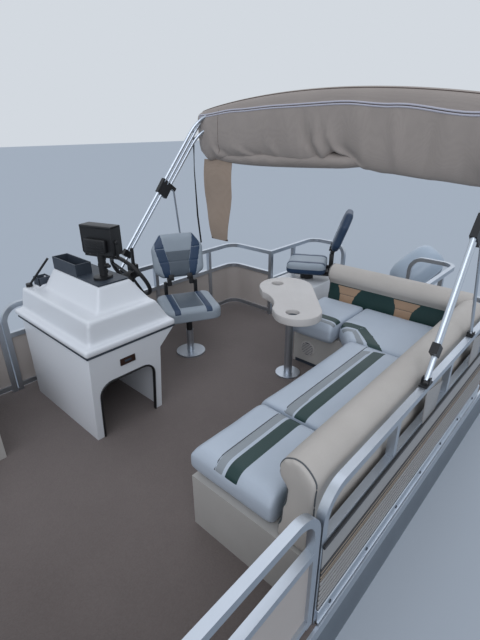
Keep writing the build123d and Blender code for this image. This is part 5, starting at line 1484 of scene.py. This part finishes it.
# Stage
@dataclass(frozen=True)
class Stage:
    """The pale floor at the height that the boat floats at, the soft studio light and the photograph's camera."""
    floating: float = -460.0
    floor_colour: str = "b4bcc4"
    eye: tuple[float, float, float] = (1100.0, 1643.0, 1660.0)
    pitch: float = 24.57
    heading: float = 42.56
    roll: float = 0.42
    lens: float = 23.715

    def build(self) -> None:
        """Makes the floor, the lights, the world and the camera."""
        self.floor()
        self.world()
        self.lamps()
        self.camera()

    def floor(self) -> None:
        """The floor that the boat floats at."""
        mesh = bpy.data.meshes.new("floor")
        shape = bmesh.new()
        bmesh.ops.create_grid(shape, x_segments=1, y_segments=1, size=60)
        bmesh.ops.translate(shape, verts=shape.verts, vec=(0, 0, DECK.top_z + self.floating * MM))
        shape.to_mesh(mesh)
        shape.free()
        floor = bpy.data.objects.new("floor", mesh)
        bpy.context.scene.collection.objects.link(floor)
        made = bpy.data.materials.new("pale_floor")
        made.use_nodes = True
        tree = made.node_tree
        tree.nodes.clear()
        shader = add(tree, "BsdfDiffuse", inputs={"Color": linear(self.floor_colour)})
        add(tree, "OutputMaterial", inputs={0: shader.outputs[0]})
        mesh.materials.append(made)

    def world(self) -> None:
        """A pale even sky that lights the boat softly."""
        world = bpy.data.worlds.new("soft_sky")
        bpy.context.scene.world = world
        world.use_nodes = True
        tree = world.node_tree
        tree.nodes.clear()
        light = add(tree, "Background", inputs={"Color": linear("dfe6ee"), "Strength": 0.62})
        seen = add(tree, "Background", inputs={"Color": linear("d3d9e0"), "Strength": 1.0})
        path = add(tree, "LightPath").outputs
        mirrored = add(tree, "Math", {"operation": "MAXIMUM"}, {0: path["Is Camera Ray"], 1: path["Is Glossy Ray"]})
        direct = add(tree, "Math", {"operation": "MAXIMUM"}, {0: mirrored.outputs[0], 1: path["Is Transmission Ray"]})
        mixed = add(tree, "MixShader", inputs={0: direct.outputs[0], 1: light.outputs[0], 2: seen.outputs[0]})
        add(tree, "OutputWorld", inputs={0: mixed.outputs[0]})

    def lamps(self) -> None:
        """A soft high sun over the port bow and a weaker one astern, both as wide as a cloudy sky."""
        for name, place, power in (("key_sun", (4500, 3500, 5200), 1.25), ("sky_sun", (-4500, -2500, 6000), 0.6)):
            data = bpy.data.lights.new(name, "SUN")
            data.energy = power
            data.angle = math.radians(70)
            data.color = linear("f1f4ff")[:3]
            lamp = bpy.data.objects.new(name, data)
            lamp.location = DECK.at(*place)
            aim = DECK.at(-600, 0, 300) - lamp.location
            lamp.rotation_euler = aim.to_track_quat("-Z", "Y").to_euler()
            bpy.context.scene.collection.objects.link(lamp)

    def camera(self) -> None:
        """The camera at the photograph's place, heading and lens."""
        data = bpy.data.cameras.new("camera")
        data.sensor_fit = "VERTICAL"
        data.sensor_height = 36.0
        data.lens = self.lens
        data.clip_end = 200.0
        camera = bpy.data.objects.new("camera", data)
        heading, pitch, roll = (math.radians(v) for v in (self.heading, self.pitch, self.roll))
        level = Vector((-math.cos(heading), -math.sin(heading), 0))
        right = Vector((-math.sin(heading), math.cos(heading), 0))
        forward = level * math.cos(pitch) - Vector((0, 0, 1)) * math.sin(pitch)
        down = -(level * math.sin(pitch) + Vector((0, 0, 1)) * math.cos(pitch))
        across = right * math.cos(roll) + down * math.sin(roll)
        under = down * math.cos(roll) - right * math.sin(roll)
        turned = Matrix((across, -under, -forward)).transposed().to_4x4()
        camera.matrix_world = Matrix.Translation(DECK.at(*self.eye)) @ turned
        bpy.context.scene.collection.objects.link(camera)
        bpy.context.scene.camera = camera
        bpy.context.scene.view_settings.view_transform = "Standard"


def main() -> None:
    """Builds the stage and every piece of the boat."""
    logging.basicConfig(level=logging.INFO)
    Stage().build()
    dress_nodes()
    log.info("dressed %d nodes", len(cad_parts))
    helm_seat = FoldingSeat("helm_seat", x=-858, y=-700, turn=62, cushion_z=350, width=460, depth=430, recline=12)
    fishing_seat = FoldingSeat("fishing_seat", x=-2080, y=-430, turn=-62, cushion_z=465, width=400, depth=370,
                               recline=19, shell=SEAT_NAVY, skirt=52.0, middle=SEAT_PALE)
    assemblies = (Lounge(), BowSeats(), helm_seat, fishing_seat, Boot(), Cladding(), Console(), Table(), Motor())
    for assembly in assemblies:
        assembly.build()
        log.info("%s built", type(assembly).__name__)


if __name__ == "__main__":
    main()
